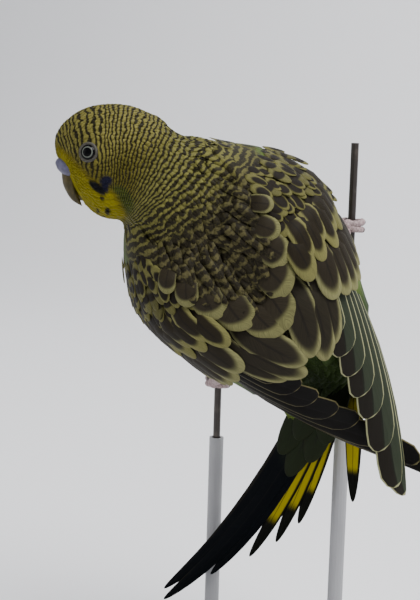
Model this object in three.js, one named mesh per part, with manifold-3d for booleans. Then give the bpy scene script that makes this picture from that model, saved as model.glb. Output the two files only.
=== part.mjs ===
// A budgerigar clinging to two upright wires, life size, held by a plain display stand.
// Millimetres, +Z up. The origin is the middle of the stand's underside.

import * as THREE from "three";
import { mergeVertices } from "three/addons/utils/BufferGeometryUtils.js";
import Module from "manifold-3d";

const wasm = await Module();
wasm.setup();

// Clearance that touching pieces keep
const GAP = 0.3;
const SLIVER = 0.01;

// The bird's own axes: x from the shoulders to the rump, y to its right, z out of its back.
// SHOULDERS is the middle of the line between the two bent wrists.
const SHOULDERS = new THREE.Vector3(-13.2, -16.5, 136.4);
const REARWARD = new THREE.Vector3(0.508, 0.417, -0.754).normalize();
const RIGHTWARD = new THREE.Vector3(0.665, 0.356, 0.656);

// Trunk stations: place of the centre, half width and half depth
const TRUNK = [
  { at: [-14, -3, 0.5], wide: 0, deep: 0 },
  { at: [-10, -2.8, -0.2], wide: 10.5, deep: 11 },
  { at: [-1, -1.4, -0.8], wide: 17, deep: 16.2 },
  { at: [11, 0, -1], wide: 20.4, deep: 17.4 },
  { at: [25, 0, -1.5], wide: 20.2, deep: 17.2 },
  { at: [38, 0.3, -2], wide: 18, deep: 15.5 },
  { at: [48, 1.8, -1.6], wide: 13.5, deep: 12 },
  { at: [55, 2.4, -1.2], wide: 10, deep: 8.8 },
  { at: [60.5, -0.5, -2.2], wide: 7, deep: 5.8 },
  { at: [64.5, -6.5, -4], wide: 0, deep: 0 },
];
const NECK = [
  { at: [8, -1, 0], wide: 0, deep: 0 },
  { at: [4, -1.6, 0], wide: 14.4, deep: 14.5 },
  { at: [-4, -2.4, 1], wide: 13.4, deep: 14.2 },
  { at: [-11, -3.9, 2.5], wide: 12.6, deep: 13.2 },
  { at: [-17, -5, 3.2], wide: 12, deep: 12 },
  { at: [-21.5, -7, 3.5], wide: 0, deep: 0 },
];

// The head: its own axes, and stations from the nape to the forehead in them
const HEAD_MIDDLE = [-18, -6.7, 3];
const HEAD_FORWARD = [-0.79, -0.55, -0.275];
const HEAD_UP = [-0.323, -0.0165, 0.946];
const HEAD = [
  { at: [-14.5, 0, -3], wide: 0, deep: 0 },
  { at: [-12.5, 0, -3], wide: 7, deep: 8.5 },
  { at: [-7, 0, -2.2], wide: 10.2, deep: 12.7 },
  { at: [0, 0, -1.5], wide: 11, deep: 14 },
  { at: [5, 0, -1.1], wide: 10, deep: 13.3 },
  { at: [8.4, 0, -0.1], wide: 7.3, deep: 11 },
  { at: [10.3, 0, 1.6], wide: 4.9, deep: 8 },
  { at: [11.8, 0, 3.3], wide: 3.2, deep: 4.4 },
  { at: [12.8, 0, 4.2], wide: 0, deep: 0 },
];
const EYE_AT = [4.5, 9.9, 0.8];
const EYE_RADIUS = 2.4;
const EYE_SHOWS = 0.28;
const LID_RADIUS = 2.35;
const LID_THICKNESS = 0.45;
const LID_SUNK = 0.35;
const LID_TURN = 0.4;

// Two thin cuts part the body: torso from neck, in the bird's axes, and neck from head,
// from the nape to the throat in the head's axes
const NECK_CUT = { at: [-5.5, 0, 0], facing: [1, 0.05, -0.1] };
const HEAD_CUT = { at: [-14, 0, 8], facing: [24, 0, 20] };

// Bill and cere, in the head's axes
const UPPER_BILL = [
  { at: [6.4, 0, -0.8], wide: 0, deep: 0 },
  { at: [7.6, 0, -0.8], wide: 2.9, deep: 2.4 },
  { at: [9.7, 0, -1.3], wide: 3.1, deep: 2.6 },
  { at: [10.9, 0, -3.4], wide: 2.7, deep: 2 },
  { at: [11.1, 0, -5.5], wide: 2, deep: 1.5 },
  { at: [10.8, 0, -7.6], wide: 1.1, deep: 1 },
  { at: [9.8, 0, -9.9], wide: 0, deep: 0 },
];
const LOWER_BILL = [
  { at: [5.6, 0, -7.4], wide: 0, deep: 0 },
  { at: [6.6, 0, -7.4], wide: 2, deep: 1.4 },
  { at: [8.6, 0, -7.5], wide: 2, deep: 1.4 },
  { at: [9.8, 0, -7.3], wide: 1.3, deep: 0.9 },
  { at: [10.4, 0, -7], wide: 0, deep: 0 },
];
const CERE_LOBE = { at: [11.6, 1.9, -0.1], along: [0.5, -0.38, 0.78], size: [1.55, 1.8, 2.9] };
const NOSTRIL = { at: [13.1, 1.4, 0.9], radius: 0.45, depth: 0.8 };

// A folded wing: its two edges from front to rear, and how far it bulges over the flank
const LEADING_EDGE = [
  [-3, 18, -4], [8, 23.6, -3], [21, 25.6, -0.9], [45, 21.2, 2.2], [70, 12.4, 5.4], [94, -1.2, 8.2],
];
const INNER_EDGE = [
  [-3, 14.5, 10.5], [8, 12, 14.6], [21, 8.6, 17], [45, 1.6, 16.4], [58, 2.4, 14], [70, 0.4, 11.8],
  [94, -6.4, 9.6],
];
const WING_BULGE = [0, 5.4, 8.4];
const FULL_CHORD = 26;
const CROSSING = { from: 42, to: 74, rightUp: 3, leftDown: 0.8 };
const CROSSING_ROOM = { from: 30, to: 97, wider: 3, above: 8 };

// The fleshy part of a wing, from which its feathers grow
const ARM = { from: -3, to: 60, thick: 4.6, thickEnd: 2.6, sunk: 1.8, columns: 9, rows: 4 };

// Feather tiers of a wing. Distances run rearward from the wrist, and across from the
// leading edge. The first feather of each tier is the one nearest the leading edge.
const VANE = 0.6;
const VANE_WIDTH = { root: 0.5, full: 0.4, round: 0.7, end: 0.25, power: 2.2 };
const ROOT_SUNK = 1.2;
const TIP_JITTER = 0.6;
const TIER_BEND = 1.35;
const PRIMARIES = {
  count: 6, root: [26, 4.6, 1.1], tip: [94, 2.2, 2.2],
  shorter: 26, width: 7.6, height: -1.9, step: 0.38,
};
const SECONDARIES = {
  count: 5, root: [24, 9, 2.4], tip: [68, 8.6, 2.7],
  shorter: 13, width: 7.6, height: 0.3, step: 0.38,
};
const TERTIALS = {
  count: 4, root: [10, 22, 0.9], tip: [58, 18.4, 2.2],
  shorter: 27, width: 9.8, height: 2, step: 0.42,
};
const GREATER_COVERTS = {
  count: 5, root: [20, 3, 3.6], tip: [47, 3.8, 3.8],
  shorter: 6, width: 6, height: 0.9, step: 0.35,
};
const MEDIAN_COVERTS = {
  count: 5, root: [8, 3, 3.9], tip: [33, 3.4, 4],
  shorter: 5, width: 6.2, height: 1.7, step: 0.32,
};

// The tail: where it leaves the rump, its direction, its spread, and its feathers,
// each with its length, its turn from the middle line in degrees, its shift sideways
// and its width
const TAIL_ROOT = [55, 3.8, 0.5];
const TAIL_ALONG = [0.367, -0.88, -0.316];
const TAIL_ACROSS = [0.906, 0.277, 0.32];
const TAIL_BOW = 6;
const TAIL_STEP = 0.45;
const TAIL_RIGHT = [
  [97, 0.2, 0.7, 5.8], [80, 2.2, 1.4, 5.6], [68, 6.6, 2, 5], [60, 11, 2.6, 5], [52, 15.5, 3.2, 5],
  [42, 32, 4.4, 5],
];
const TAIL_LEFT = [
  [94, -0.4, -0.7, 5.8], [79, -0.8, -0.8, 5.6], [67, -0.8, -0.9, 5.4], [58, -0.8, -1, 5.4],
  [50, -0.8, -1.1, 5.4], [39, -0.8, -1.2, 5.4],
];
const TAIL_TAPER = { root: 0.75, full: 0.2, round: 0.35, end: 0.22, power: 1.6 };
const COVERTS_ABOVE = 0.6;
const COVERTS_BELOW = 3.2;
const TAIL_COVERTS = [
  [38, 5, 1, 7], [33, -1, -1, 7], [31, 11, 2.6, 7], [26, 2, -0.2, 7], [24, 17, 3.6, 7], [20, 8, 1.6, 7],
];
const UNDER_COVERTS = [[36, 2, 0.4, 7], [32, 7, 1.6, 7], [28, -1, -1, 7]];
const TAIL_CORE = { reach: 13, size: [9, 7, 3.2] };

// Legs: hip, knee and heel of each, in the bird's axes
const LEG_RADIUS = 1.35;
const THIGH_RADIUS = 6.2;
const HEEL_PART = 0.35;
const LEGS = {
  left: { hip: [38, -9, -9], knee: [45, -17, -16], wire: -25.05, grip: 81.8 },
  right: { hip: [34, 10, -9], knee: [38, 20, -13], wire: 13.05, grip: 127.8 },
};

// Toes round a wire
const TOE_RADIUS = 0.95;
const TOE_REACH = 2.35;
const TOE_SWEEP = [205, 175, 190, 160];
const TOE_SPACING = 2.1;
const TOE_START = -104;
const TOE_STEPS = 6;
const TOE_ARCH = 0.5;
const CLAW_PART = 0.6;
const PALM_RADIUS = 1.7;

// Wires and stand
const WIRE_RADIUS = 1;
const WIRE_DEPTH = 24;
const WIRE_BELOW = 21;
const WIRE_ABOVE = 21;
const ROD_RADIUS = 2;
const SOCKET_DEPTH = 5;
const BASE_LENGTH = 104;
const BASE_DEPTH = 88;
const BASE_HEIGHT = 7;
const BASE_CORNER = 10;
const BASE_BEVEL = 1;
const ROD_PLUG = 3;

const FEATHER = new THREE.MeshStandardMaterial({ color: 0x9a9a55, roughness: 0.9 });
const PLUMAGE_DARK = new THREE.MeshStandardMaterial({ color: 0x55503f, roughness: 0.85 });
const TAIL_BLUE = new THREE.MeshStandardMaterial({ color: 0x16202c, roughness: 0.7 });
const HORN = new THREE.MeshStandardMaterial({ color: 0x6b654c, roughness: 0.45 });
const CERE_BLUE = new THREE.MeshStandardMaterial({ color: 0x6f6f9c, roughness: 0.5 });
const EYE_BLACK = new THREE.MeshStandardMaterial({ color: 0x0a0a0c, roughness: 0.1 });
const SKIN_PINK = new THREE.MeshStandardMaterial({ color: 0x8f7b80, roughness: 0.7 });
const STEEL = new THREE.MeshStandardMaterial({ color: 0x3a3733, roughness: 0.4, metalness: 0.9 });
const STAND_GREY = new THREE.MeshStandardMaterial({ color: 0x8c8c8c, roughness: 0.5 });

// Vectors and interpolation
const vec = (list) => new THREE.Vector3(...list);
const curve = (points) => new THREE.CatmullRomCurve3(points.map(vec), false, "catmullrom", 0.5);
const lerp = THREE.MathUtils.lerp;
const smooth = THREE.MathUtils.smoothstep;

// A curve through points, read at a distance along x instead of at a parameter
function edgeAt(points, x) {
  let i = 1;
  while (i < points.length - 2 && points[i][0] < x) i += 1;
  const before = points[Math.max(i - 2, 0)];
  const a = points[i - 1];
  const b = points[i];
  const after = points[Math.min(i + 1, points.length - 1)];
  const t = (x - a[0]) / (b[0] - a[0]);
  const value = (k) => {
    const inSlope = ((b[k] - before[k]) / (b[0] - before[0])) * (b[0] - a[0]);
    const outSlope = ((after[k] - a[k]) / (after[0] - a[0])) * (b[0] - a[0]);
    const cubic = 2 * a[k] - 2 * b[k] + inSlope + outSlope;
    const square = 3 * (b[k] - a[k]) - 2 * inSlope - outSlope;
    return ((cubic * t + square) * t + inSlope) * t + a[k];
  };
  return new THREE.Vector3(x, value(1), value(2));
}

// A closed geometry made a solid, grown along its normals where a neighbour is cut by it
function solid(geometry, grow = 0) {
  geometry.deleteAttribute("normal");
  geometry.deleteAttribute("uv");
  const merged = mergeVertices(geometry, 1e-4);
  if (grow !== 0) {
    merged.computeVertexNormals();
    const { position, normal } = merged.attributes;
    for (let i = 0; i < position.array.length; i += 1) position.array[i] += normal.array[i] * grow;
  }
  const triangles = [];
  const index = merged.index.array;
  for (let i = 0; i < index.length; i += 3) {
    const [a, b, c] = [index[i], index[i + 1], index[i + 2]];
    if (a !== b && b !== c && c !== a) triangles.push(a, b, c);
  }
  return new wasm.Manifold(
    new wasm.Mesh({
      numProp: 3,
      vertProperties: new Float32Array(merged.attributes.position.array),
      triVerts: new Uint32Array(triangles),
    }),
  );
}

function largest(body) {
  return body.decompose().sort((a, b) => b.volume() - a.volume())[0];
}

// The finished body, with slivers shorter than SLIVER taken out
function geometryOf(body) {
  const mesh = largest(largest(body).simplify(SLIVER)).getMesh();
  const geometry = new THREE.BufferGeometry();
  geometry.setAttribute("position", new THREE.BufferAttribute(new Float32Array(mesh.vertProperties), 3));
  geometry.setIndex(new THREE.BufferAttribute(new Uint32Array(mesh.triVerts), 1));
  return geometry;
}

// A sphere stretched along a list of stations: one rounded body with a curved axis.
// Its sections stand square to the axis, or to x where they are kept upright.
function sweep(stations, sides, rings, { grow = 0, up = [0, 0, 1], upright = false } = {}) {
  const geometry = new THREE.SphereGeometry(1, sides, rings);
  const path = curve(stations.map((station) => station.at));
  const sizes = curve(stations.map((station) => [station.wide, station.deep, 0]));
  const position = geometry.attributes.position;
  const uv = geometry.attributes.uv;
  for (let i = 0; i < position.count; i += 1) {
    const along = 1 - uv.getY(i);
    const centre = path.getPoint(along);
    const forward = upright ? new THREE.Vector3(1, 0, 0) : path.getTangent(along);
    const size = sizes.getPoint(along);
    const side = new THREE.Vector3().crossVectors(forward, vec(up)).normalize();
    const top = new THREE.Vector3().crossVectors(side, forward);
    const angle = uv.getX(i) * 2 * Math.PI;
    const pole = along < 1e-6 || along > 1 - 1e-6;
    const wide = pole ? 0 : Math.max(size.x, 0.05);
    const deep = pole ? 0 : Math.max(size.y, 0.05);
    centre.addScaledVector(side, Math.cos(angle) * wide).addScaledVector(top, Math.sin(angle) * deep);
    position.setXYZ(i, centre.x, centre.y, centre.z);
  }
  return solid(outward(geometry), grow);
}

// Turns a closed geometry's faces outward when a mapping has mirrored it
function outward(geometry) {
  const flat = geometry.index ? geometry.toNonIndexed() : geometry;
  const p = flat.attributes.position;
  const a = new THREE.Vector3();
  const b = new THREE.Vector3();
  const c = new THREE.Vector3();
  let volume = 0;
  for (let i = 0; i < p.count; i += 3) {
    a.fromBufferAttribute(p, i);
    b.fromBufferAttribute(p, i + 1);
    c.fromBufferAttribute(p, i + 2);
    volume += a.dot(b.cross(c));
  }
  if (volume > 0) return flat;
  for (let i = 0; i < p.count; i += 3) {
    b.fromBufferAttribute(p, i + 1);
    c.fromBufferAttribute(p, i + 2);
    p.setXYZ(i + 1, c.x, c.y, c.z);
    p.setXYZ(i + 2, b.x, b.y, b.z);
  }
  return flat;
}

// A thin closed slab of columns by rows, both faces split into triangles alike.
// place(u, v, side) gives the point for u and v from 0 to 1 and side 0 (under) or 1 (upper).
function slab(columns, rows, place, grow = 0) {
  const points = [];
  const triangles = [];
  const id = (i, j, side) => (i * (rows + 1) + j) * 2 + side;
  for (let i = 0; i <= columns; i += 1) {
    for (let j = 0; j <= rows; j += 1) {
      for (const side of [0, 1]) points.push(...place(i / columns, j / rows, side).toArray());
    }
  }
  const quad = (a, b, c, d) => triangles.push(a, b, c, a, c, d);
  for (let i = 0; i < columns; i += 1) {
    for (let j = 0; j < rows; j += 1) {
      quad(id(i, j, 1), id(i + 1, j, 1), id(i + 1, j + 1, 1), id(i, j + 1, 1));
      triangles.push(id(i, j, 0), id(i + 1, j + 1, 0), id(i + 1, j, 0));
      triangles.push(id(i, j, 0), id(i, j + 1, 0), id(i + 1, j + 1, 0));
    }
    quad(id(i, 0, 0), id(i + 1, 0, 0), id(i + 1, 0, 1), id(i, 0, 1));
    quad(id(i, rows, 1), id(i + 1, rows, 1), id(i + 1, rows, 0), id(i, rows, 0));
  }
  for (let j = 0; j < rows; j += 1) {
    quad(id(0, j, 0), id(0, j, 1), id(0, j + 1, 1), id(0, j + 1, 0));
    quad(id(columns, j, 0), id(columns, j + 1, 0), id(columns, j + 1, 1), id(columns, j, 1));
  }
  const geometry = new THREE.BufferGeometry();
  geometry.setAttribute("position", new THREE.Float32BufferAttribute(points, 3));
  geometry.setIndex(triangles);
  return solid(outward(geometry), grow);
}

// Head axes as a matrix: forward, to its left, up
function headMatrix() {
  const forward = birdAxes.inverse.clone();
  const a = vec(HEAD_FORWARD).normalize().applyMatrix4(forward);
  const c = vec(HEAD_UP).applyMatrix4(forward);
  c.addScaledVector(a, -c.dot(a)).normalize();
  const b = new THREE.Vector3().crossVectors(c, a);
  return new THREE.Matrix4().makeBasis(a, b, c).setPosition(...HEAD_MIDDLE);
}

const birdAxes = (() => {
  const right = RIGHTWARD.clone().addScaledVector(REARWARD, -RIGHTWARD.dot(REARWARD)).normalize();
  const back = new THREE.Vector3().crossVectors(REARWARD, right);
  const turn = new THREE.Matrix4().makeBasis(REARWARD, right, back);
  return { turn, inverse: turn.clone().invert() };
})();
const birdPlace = birdAxes.turn.clone().setPosition(SHOULDERS);
const toBird = birdPlace.clone().invert();
const toBody = headMatrix();

// Flesh: trunk, neck and head as one body, parted by two thin cuts
function flesh(grow = 0) {
  return {
    trunk: sweep(TRUNK, 22, 16, { grow }),
    neck: sweep(NECK, 20, 10, { grow }),
    head: sweep(HEAD, 22, 14, { grow, upright: true }).transform(toBody.elements),
  };
}

function trimmed(body, cut, axes, keep) {
  const at = vec(cut.at).applyMatrix4(axes);
  const normal = vec(cut.facing).transformDirection(axes).multiplyScalar(keep);
  return body.trimByPlane(normal.toArray(), normal.dot(at) + GAP / 2);
}

function bodyNodes() {
  const { trunk, neck, head } = flesh();
  const whole = trunk.add(neck).add(head);
  const bird = new THREE.Matrix4();
  const front = trimmed(whole, NECK_CUT, bird, -1);
  return {
    torso: trimmed(whole, NECK_CUT, bird, 1),
    neck: trimmed(front, HEAD_CUT, toBody, -1),
    head: trimmed(front, HEAD_CUT, toBody, 1),
  };
}

// Face: eyes, lids, cere and bill, in the head's axes
const FORWARD = new THREE.Vector3(1, 0, 0);
const mirrored = (place, side) => vec(place).multiply(new THREE.Vector3(1, side, 1));

function faceNodes(head) {
  const inHead = (body) => body.transform(toBody.elements);
  const upper = (grow) => sweep(UPPER_BILL, 10, 10, { grow, up: [1, 0, 1] });
  const lower = (grow) => sweep(LOWER_BILL, 8, 6, { grow });
  const cereLobe = (side, grow) => {
    const along = mirrored(CERE_LOBE.along, side).normalize();
    const across = new THREE.Vector3().crossVectors(along, FORWARD).normalize();
    const ball = new THREE.SphereGeometry(1, 14, 10);
    ball.scale(...CERE_LOBE.size.map((size) => size + grow));
    const front = new THREE.Vector3().crossVectors(across, along);
    ball.applyMatrix4(new THREE.Matrix4().makeBasis(front, across, along));
    ball.translate(...mirrored(CERE_LOBE.at, side).toArray());
    return solid(ball);
  };
  const cereBody = (grow) => cereLobe(1, grow).add(cereLobe(-1, grow));
  const eyeBall = (side, grow) => {
    const ball = new THREE.SphereGeometry(EYE_RADIUS + grow, 12, 9);
    ball.translate(EYE_AT[0], side * (EYE_AT[1] - EYE_RADIUS * (1 - EYE_SHOWS)), EYE_AT[2]);
    return solid(ball);
  };
  const lidRing = (side) => {
    const ring = new THREE.TorusGeometry(LID_RADIUS, LID_THICKNESS, 5, 14);
    ring.rotateX(Math.PI / 2);
    ring.rotateZ(side * LID_TURN);
    ring.translate(EYE_AT[0], side * (EYE_AT[1] - LID_SUNK), EYE_AT[2]);
    return solid(ring);
  };
  let cere = cereBody(0).subtract(upper(GAP));
  for (const side of [-1, 1]) {
    const nostril = new THREE.CylinderGeometry(NOSTRIL.radius, NOSTRIL.radius, 2 * NOSTRIL.depth, 10);
    nostril.rotateZ(Math.PI / 2);
    nostril.translate(...mirrored(NOSTRIL.at, side).toArray());
    cere = cere.subtract(solid(nostril));
  }
  let skull = largest(head);
  for (const side of [-1, 1]) skull = skull.add(inHead(lidRing(side)));
  skull = skull.subtract(inHead(upper(GAP))).subtract(inHead(lower(GAP))).subtract(inHead(cereBody(GAP)));
  for (const side of [-1, 1]) skull = skull.subtract(inHead(eyeBall(side, GAP)));
  return {
    head: skull,
    cere: inHead(largest(cere)),
    billUpper: inHead(upper(0)),
    billLower: inHead(lower(0).subtract(upper(GAP))),
    eyeLeft: inHead(eyeBall(1, 0)),
    eyeRight: inHead(eyeBall(-1, 0)),
  };
}

// Wing surface: a distance rearward, a distance across from the leading edge and a height
function wingPoint(x, across, height, side) {
  const lead = edgeAt(LEADING_EDGE, x);
  const inner = edgeAt(INNER_EDGE, x);
  const chord = lead.distanceTo(inner);
  const bulge = vec(WING_BULGE).multiplyScalar(Math.pow(chord / FULL_CHORD, 1.5));
  const middle = lead.clone().add(inner).multiplyScalar(0.5).add(bulge);
  const arc = new THREE.QuadraticBezierCurve3(lead, middle, inner);
  const length = (lead.distanceTo(middle) + middle.distanceTo(inner) + chord) / 2;
  const part = THREE.MathUtils.clamp(across / length, 0, 1);
  const point = arc.getPoint(part);
  const tangent = arc.getTangent(part);
  point.addScaledVector(tangent, across - part * length);
  point.addScaledVector(new THREE.Vector3(0, tangent.z, -tangent.y).normalize(), height);
  const cross = smooth(x, CROSSING.from, CROSSING.to);
  point.z += cross * (side > 0 ? CROSSING.rightUp : -CROSSING.leftDown);
  point.y *= side;
  return point;
}

function chordAt(x) {
  return edgeAt(LEADING_EDGE, x).distanceTo(edgeAt(INNER_EDGE, x)) * 1.12;
}

// Width of a vane along its length: narrow root, full middle, rounded tip
function vaneWidth(u, { root, full, round, end, power } = VANE_WIDTH) {
  const narrowed = lerp(root, 1, smooth(u, 0, full));
  const past = Math.max(u - round, 0) / (1 - round);
  return narrowed * Math.max(Math.sqrt(1 - Math.pow(past, power)), end);
}
const VANE_COLUMNS = [0, 0.34, 0.7, 0.91, 1];

// One vane between two places on the wing's chart, its root sunk into the arm
function wingVane(root, tip, width, height, side) {
  const way = new THREE.Vector2(tip[0] - root[0], tip[1] - root[1]).normalize();
  return slab(VANE_COLUMNS.length - 1, 1, (u, v, face) => {
    const part = VANE_COLUMNS[Math.round(u * (VANE_COLUMNS.length - 1))];
    const off = (v - 0.5) * width * vaneWidth(part);
    const x = lerp(root[0], tip[0], part) - way.y * off;
    const across = lerp(root[1], tip[1], part) + way.x * off;
    const lift = lerp(Math.min(height, 0) - ROOT_SUNK, height, smooth(part, 0, 0.5));
    return wingPoint(x, across, lift + (face - 1) * VANE, side);
  });
}

function tier(spec, side, random) {
  const vanes = [];
  for (let i = 0; i < spec.count; i += 1) {
    const part = i / (spec.count - 1);
    const jitter = (2 * random() - 1) * TIP_JITTER;
    const root = [spec.root[0], spec.root[1] + spec.root[2] * i];
    const reach = spec.tip[0] - spec.shorter * Math.pow(part, TIER_BEND) + jitter;
    const tip = [reach, spec.tip[1] + spec.tip[2] * i];
    vanes.push(wingVane(root, tip, spec.width, spec.height + spec.step * i, side));
  }
  return vanes;
}

// A seeded random number source
function seeded(seed) {
  let state = seed;
  return () => {
    state = (state * 16807) % 2147483647;
    return state / 2147483647;
  };
}

function arm(side) {
  return slab(ARM.columns, ARM.rows, (u, v, face) => {
    const x = lerp(ARM.from, ARM.to, u);
    const thick = lerp(ARM.thick, ARM.thickEnd, smooth(x, 15, ARM.to));
    const top = ARM.sunk * (smooth(x, ARM.from, 4) - 1);
    return wingPoint(x, v * chordAt(x), face === 1 ? top : top - thick, side);
  });
}

function wing(side) {
  const random = seeded(side > 0 ? 11 : 29);
  return wasm.Manifold.union([
    arm(side),
    ...tier(PRIMARIES, side, random),
    ...tier(SECONDARIES, side, random),
    ...tier(GREATER_COVERTS, side, random),
    ...tier(MEDIAN_COVERTS, side, random),
    ...tier(TERTIALS, side, random),
  ]);
}

// What the right wing keeps free below itself where it crosses the left one
function roomUnderRightWing() {
  const { from, to, wider, above } = CROSSING_ROOM;
  const below = PRIMARIES.height - VANE - GAP * 1.4;
  return slab(12, 4, (u, v, face) => {
    const x = lerp(from, to, u);
    return wingPoint(x, lerp(-wider, chordAt(x) + wider, v), face === 1 ? above : below, 1);
  });
}

// Tail: graduated feathers, fanned to the right and closed to the left, on a small core
function tailVane([length, turn, shift, width], height, taper, axes) {
  const angle = THREE.MathUtils.degToRad(turn);
  return slab(VANE_COLUMNS.length - 1, 1, (u, v, face) => {
    const part = VANE_COLUMNS[Math.round(u * (VANE_COLUMNS.length - 1))];
    const far = length * part;
    const share = far / TAIL_RIGHT[0][0];
    const bow = TAIL_BOW * 4 * share * (1 - share) * Math.max(1 - Math.abs(turn) / 20, 0);
    const off = (v - 0.5) * width * vaneWidth(part, taper) + shift + bow;
    const point = vec(TAIL_ROOT);
    point.addScaledVector(axes.along, Math.cos(angle) * far - Math.sin(angle) * off);
    point.addScaledVector(axes.across, Math.sin(angle) * far + Math.cos(angle) * off);
    return point.addScaledVector(axes.up, height + (face - 1) * VANE);
  });
}

function tail() {
  const along = vec(TAIL_ALONG).normalize();
  const across = vec(TAIL_ACROSS);
  across.addScaledVector(along, -across.dot(along)).normalize();
  const up = new THREE.Vector3().crossVectors(along, across);
  const axes = { along, across, up };
  const core = new THREE.SphereGeometry(1, 14, 10);
  core.applyMatrix4(new THREE.Matrix4().makeBasis(along, across, up).scale(vec(TAIL_CORE.size)));
  core.translate(...vec(TAIL_ROOT).addScaledVector(along, TAIL_CORE.reach).toArray());
  const vanes = [solid(outward(core))];
  TAIL_RIGHT.forEach((feather, i) => vanes.push(tailVane(feather, -i * TAIL_STEP, TAIL_TAPER, axes)));
  TAIL_LEFT.forEach((feather, i) => vanes.push(tailVane(feather, -(i + 0.5) * TAIL_STEP, TAIL_TAPER, axes)));
  TAIL_COVERTS.forEach((feather, i) => {
    vanes.push(tailVane(feather, COVERTS_ABOVE + i * TAIL_STEP, VANE_WIDTH, axes));
  });
  UNDER_COVERTS.forEach((feather, i) => {
    vanes.push(tailVane(feather, -COVERTS_BELOW - i * TAIL_STEP, VANE_WIDTH, axes));
  });
  return wasm.Manifold.union(vanes);
}

// Leg: a feathered thigh and a scaled shank down to the grip
function gripPoint(leg) {
  return new THREE.Vector3(leg.wire, WIRE_DEPTH - WIRE_RADIUS - GAP - TOE_RADIUS, leg.grip);
}

function legBody(leg, grow = 0) {
  const grip = gripPoint(leg).applyMatrix4(toBird);
  const knee = vec(leg.knee);
  const heel = knee.clone().lerp(grip, HEEL_PART);
  const stations = [
    { at: leg.hip, wide: 0, deep: 0 },
    { at: vec(leg.hip).lerp(knee, 0.25).toArray(), wide: THIGH_RADIUS, deep: THIGH_RADIUS },
    { at: vec(leg.hip).lerp(knee, 0.7).toArray(), wide: THIGH_RADIUS * 0.75, deep: THIGH_RADIUS * 0.75 },
    { at: knee.toArray(), wide: THIGH_RADIUS * 0.45, deep: THIGH_RADIUS * 0.45 },
    { at: heel.toArray(), wide: LEG_RADIUS, deep: LEG_RADIUS },
    { at: heel.clone().lerp(grip, 0.6).toArray(), wide: LEG_RADIUS, deep: LEG_RADIUS },
    { at: grip.toArray(), wide: 0, deep: 0 },
  ];
  return sweep(stations, 10, 12, { grow, up: [0.2, 0.3, 1] });
}

// Foot: four toes round the wire, two to each side, each ending in a claw
function foot(leg) {
  const wireAt = (z) => new THREE.Vector3(leg.wire, WIRE_DEPTH, z);
  let body = null;
  TOE_SWEEP.forEach((sweepAngle, i) => {
    const way = i < 2 ? 1 : -1;
    const level = (i % 2 === 0 ? 0.5 : -0.5) * TOE_SPACING;
    const stations = [];
    for (let k = 0; k <= TOE_STEPS; k += 1) {
      const part = k / TOE_STEPS;
      const start = way > 0 ? TOE_START : -180 - TOE_START;
      const angle = THREE.MathUtils.degToRad(start + way * sweepAngle * part);
      const at = wireAt(leg.grip + level * lerp(0.35, 1.25, part));
      const reach = TOE_REACH + TOE_ARCH * Math.sin(part * Math.PI);
      at.x += Math.cos(angle) * reach;
      at.y += Math.sin(angle) * reach;
      const fat = k === 0 || k === TOE_STEPS ? 0 : lerp(TOE_RADIUS, TOE_RADIUS * CLAW_PART, part);
      stations.push({ at: at.toArray(), wide: fat, deep: fat });
    }
    const toe = sweep(stations, 6, 9);
    body = body ? body.add(toe) : toe;
  });
  const palm = new THREE.SphereGeometry(PALM_RADIUS, 10, 6);
  palm.translate(...gripPoint(leg).toArray());
  body = body.add(solid(palm));
  const wire = new THREE.CylinderGeometry(WIRE_RADIUS + GAP, WIRE_RADIUS + GAP, 30, 16);
  wire.rotateX(Math.PI / 2);
  wire.translate(leg.wire, WIRE_DEPTH, leg.grip);
  return body.subtract(solid(wire));
}

// Wires, rods and base
function uprightRod(radius, low, high, x, sides = 16) {
  const rod = new THREE.CylinderGeometry(radius, radius, high - low, sides);
  rod.rotateX(Math.PI / 2);
  rod.translate(x, WIRE_DEPTH, (low + high) / 2);
  return solid(rod);
}

function standBase() {
  const half = [BASE_LENGTH / 2 - BASE_BEVEL, BASE_DEPTH / 2 - BASE_BEVEL];
  const shape = new THREE.Shape();
  const corner = BASE_CORNER;
  shape.moveTo(-half[0] + corner, -half[1]);
  shape.lineTo(half[0] - corner, -half[1]);
  shape.absarc(half[0] - corner, -half[1] + corner, corner, -Math.PI / 2, 0);
  shape.lineTo(half[0], half[1] - corner);
  shape.absarc(half[0] - corner, half[1] - corner, corner, 0, Math.PI / 2);
  shape.lineTo(-half[0] + corner, half[1]);
  shape.absarc(-half[0] + corner, half[1] - corner, corner, Math.PI / 2, Math.PI);
  shape.lineTo(-half[0], -half[1] + corner);
  shape.absarc(-half[0] + corner, -half[1] + corner, corner, Math.PI, Math.PI * 1.5);
  const plate = new THREE.ExtrudeGeometry(shape, {
    depth: BASE_HEIGHT - 2 * BASE_BEVEL,
    bevelEnabled: true,
    bevelThickness: BASE_BEVEL,
    bevelSize: BASE_BEVEL,
    bevelSegments: 1,
    curveSegments: 6,
  });
  plate.translate(0, 0, BASE_BEVEL);
  let body = solid(plate);
  for (const leg of Object.values(LEGS)) {
    const socket = uprightRod(ROD_RADIUS + GAP, BASE_HEIGHT - ROD_PLUG - GAP, BASE_HEIGHT + 1, leg.wire);
    body = body.subtract(socket);
  }
  return body;
}

// The finished group
const group = new THREE.Group();
const bird = new THREE.Group();
bird.applyMatrix4(birdPlace);
group.add(bird);

function addNode(parent, name, body, material) {
  const mesh = new THREE.Mesh(geometryOf(body), material);
  mesh.name = name;
  parent.add(mesh);
}

const body = bodyNodes();
const face = faceNodes(body.head);
const grown = flesh(GAP);
const fleshGrown = grown.trunk.add(grown.neck).add(grown.head);

const legLeft = legBody(LEGS.left).subtract(fleshGrown);
const legRight = legBody(LEGS.right).subtract(fleshGrown);
const legsGrown = legBody(LEGS.left, GAP).add(legBody(LEGS.right, GAP));
const footBodies = { left: foot(LEGS.left), right: foot(LEGS.right) };

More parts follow.
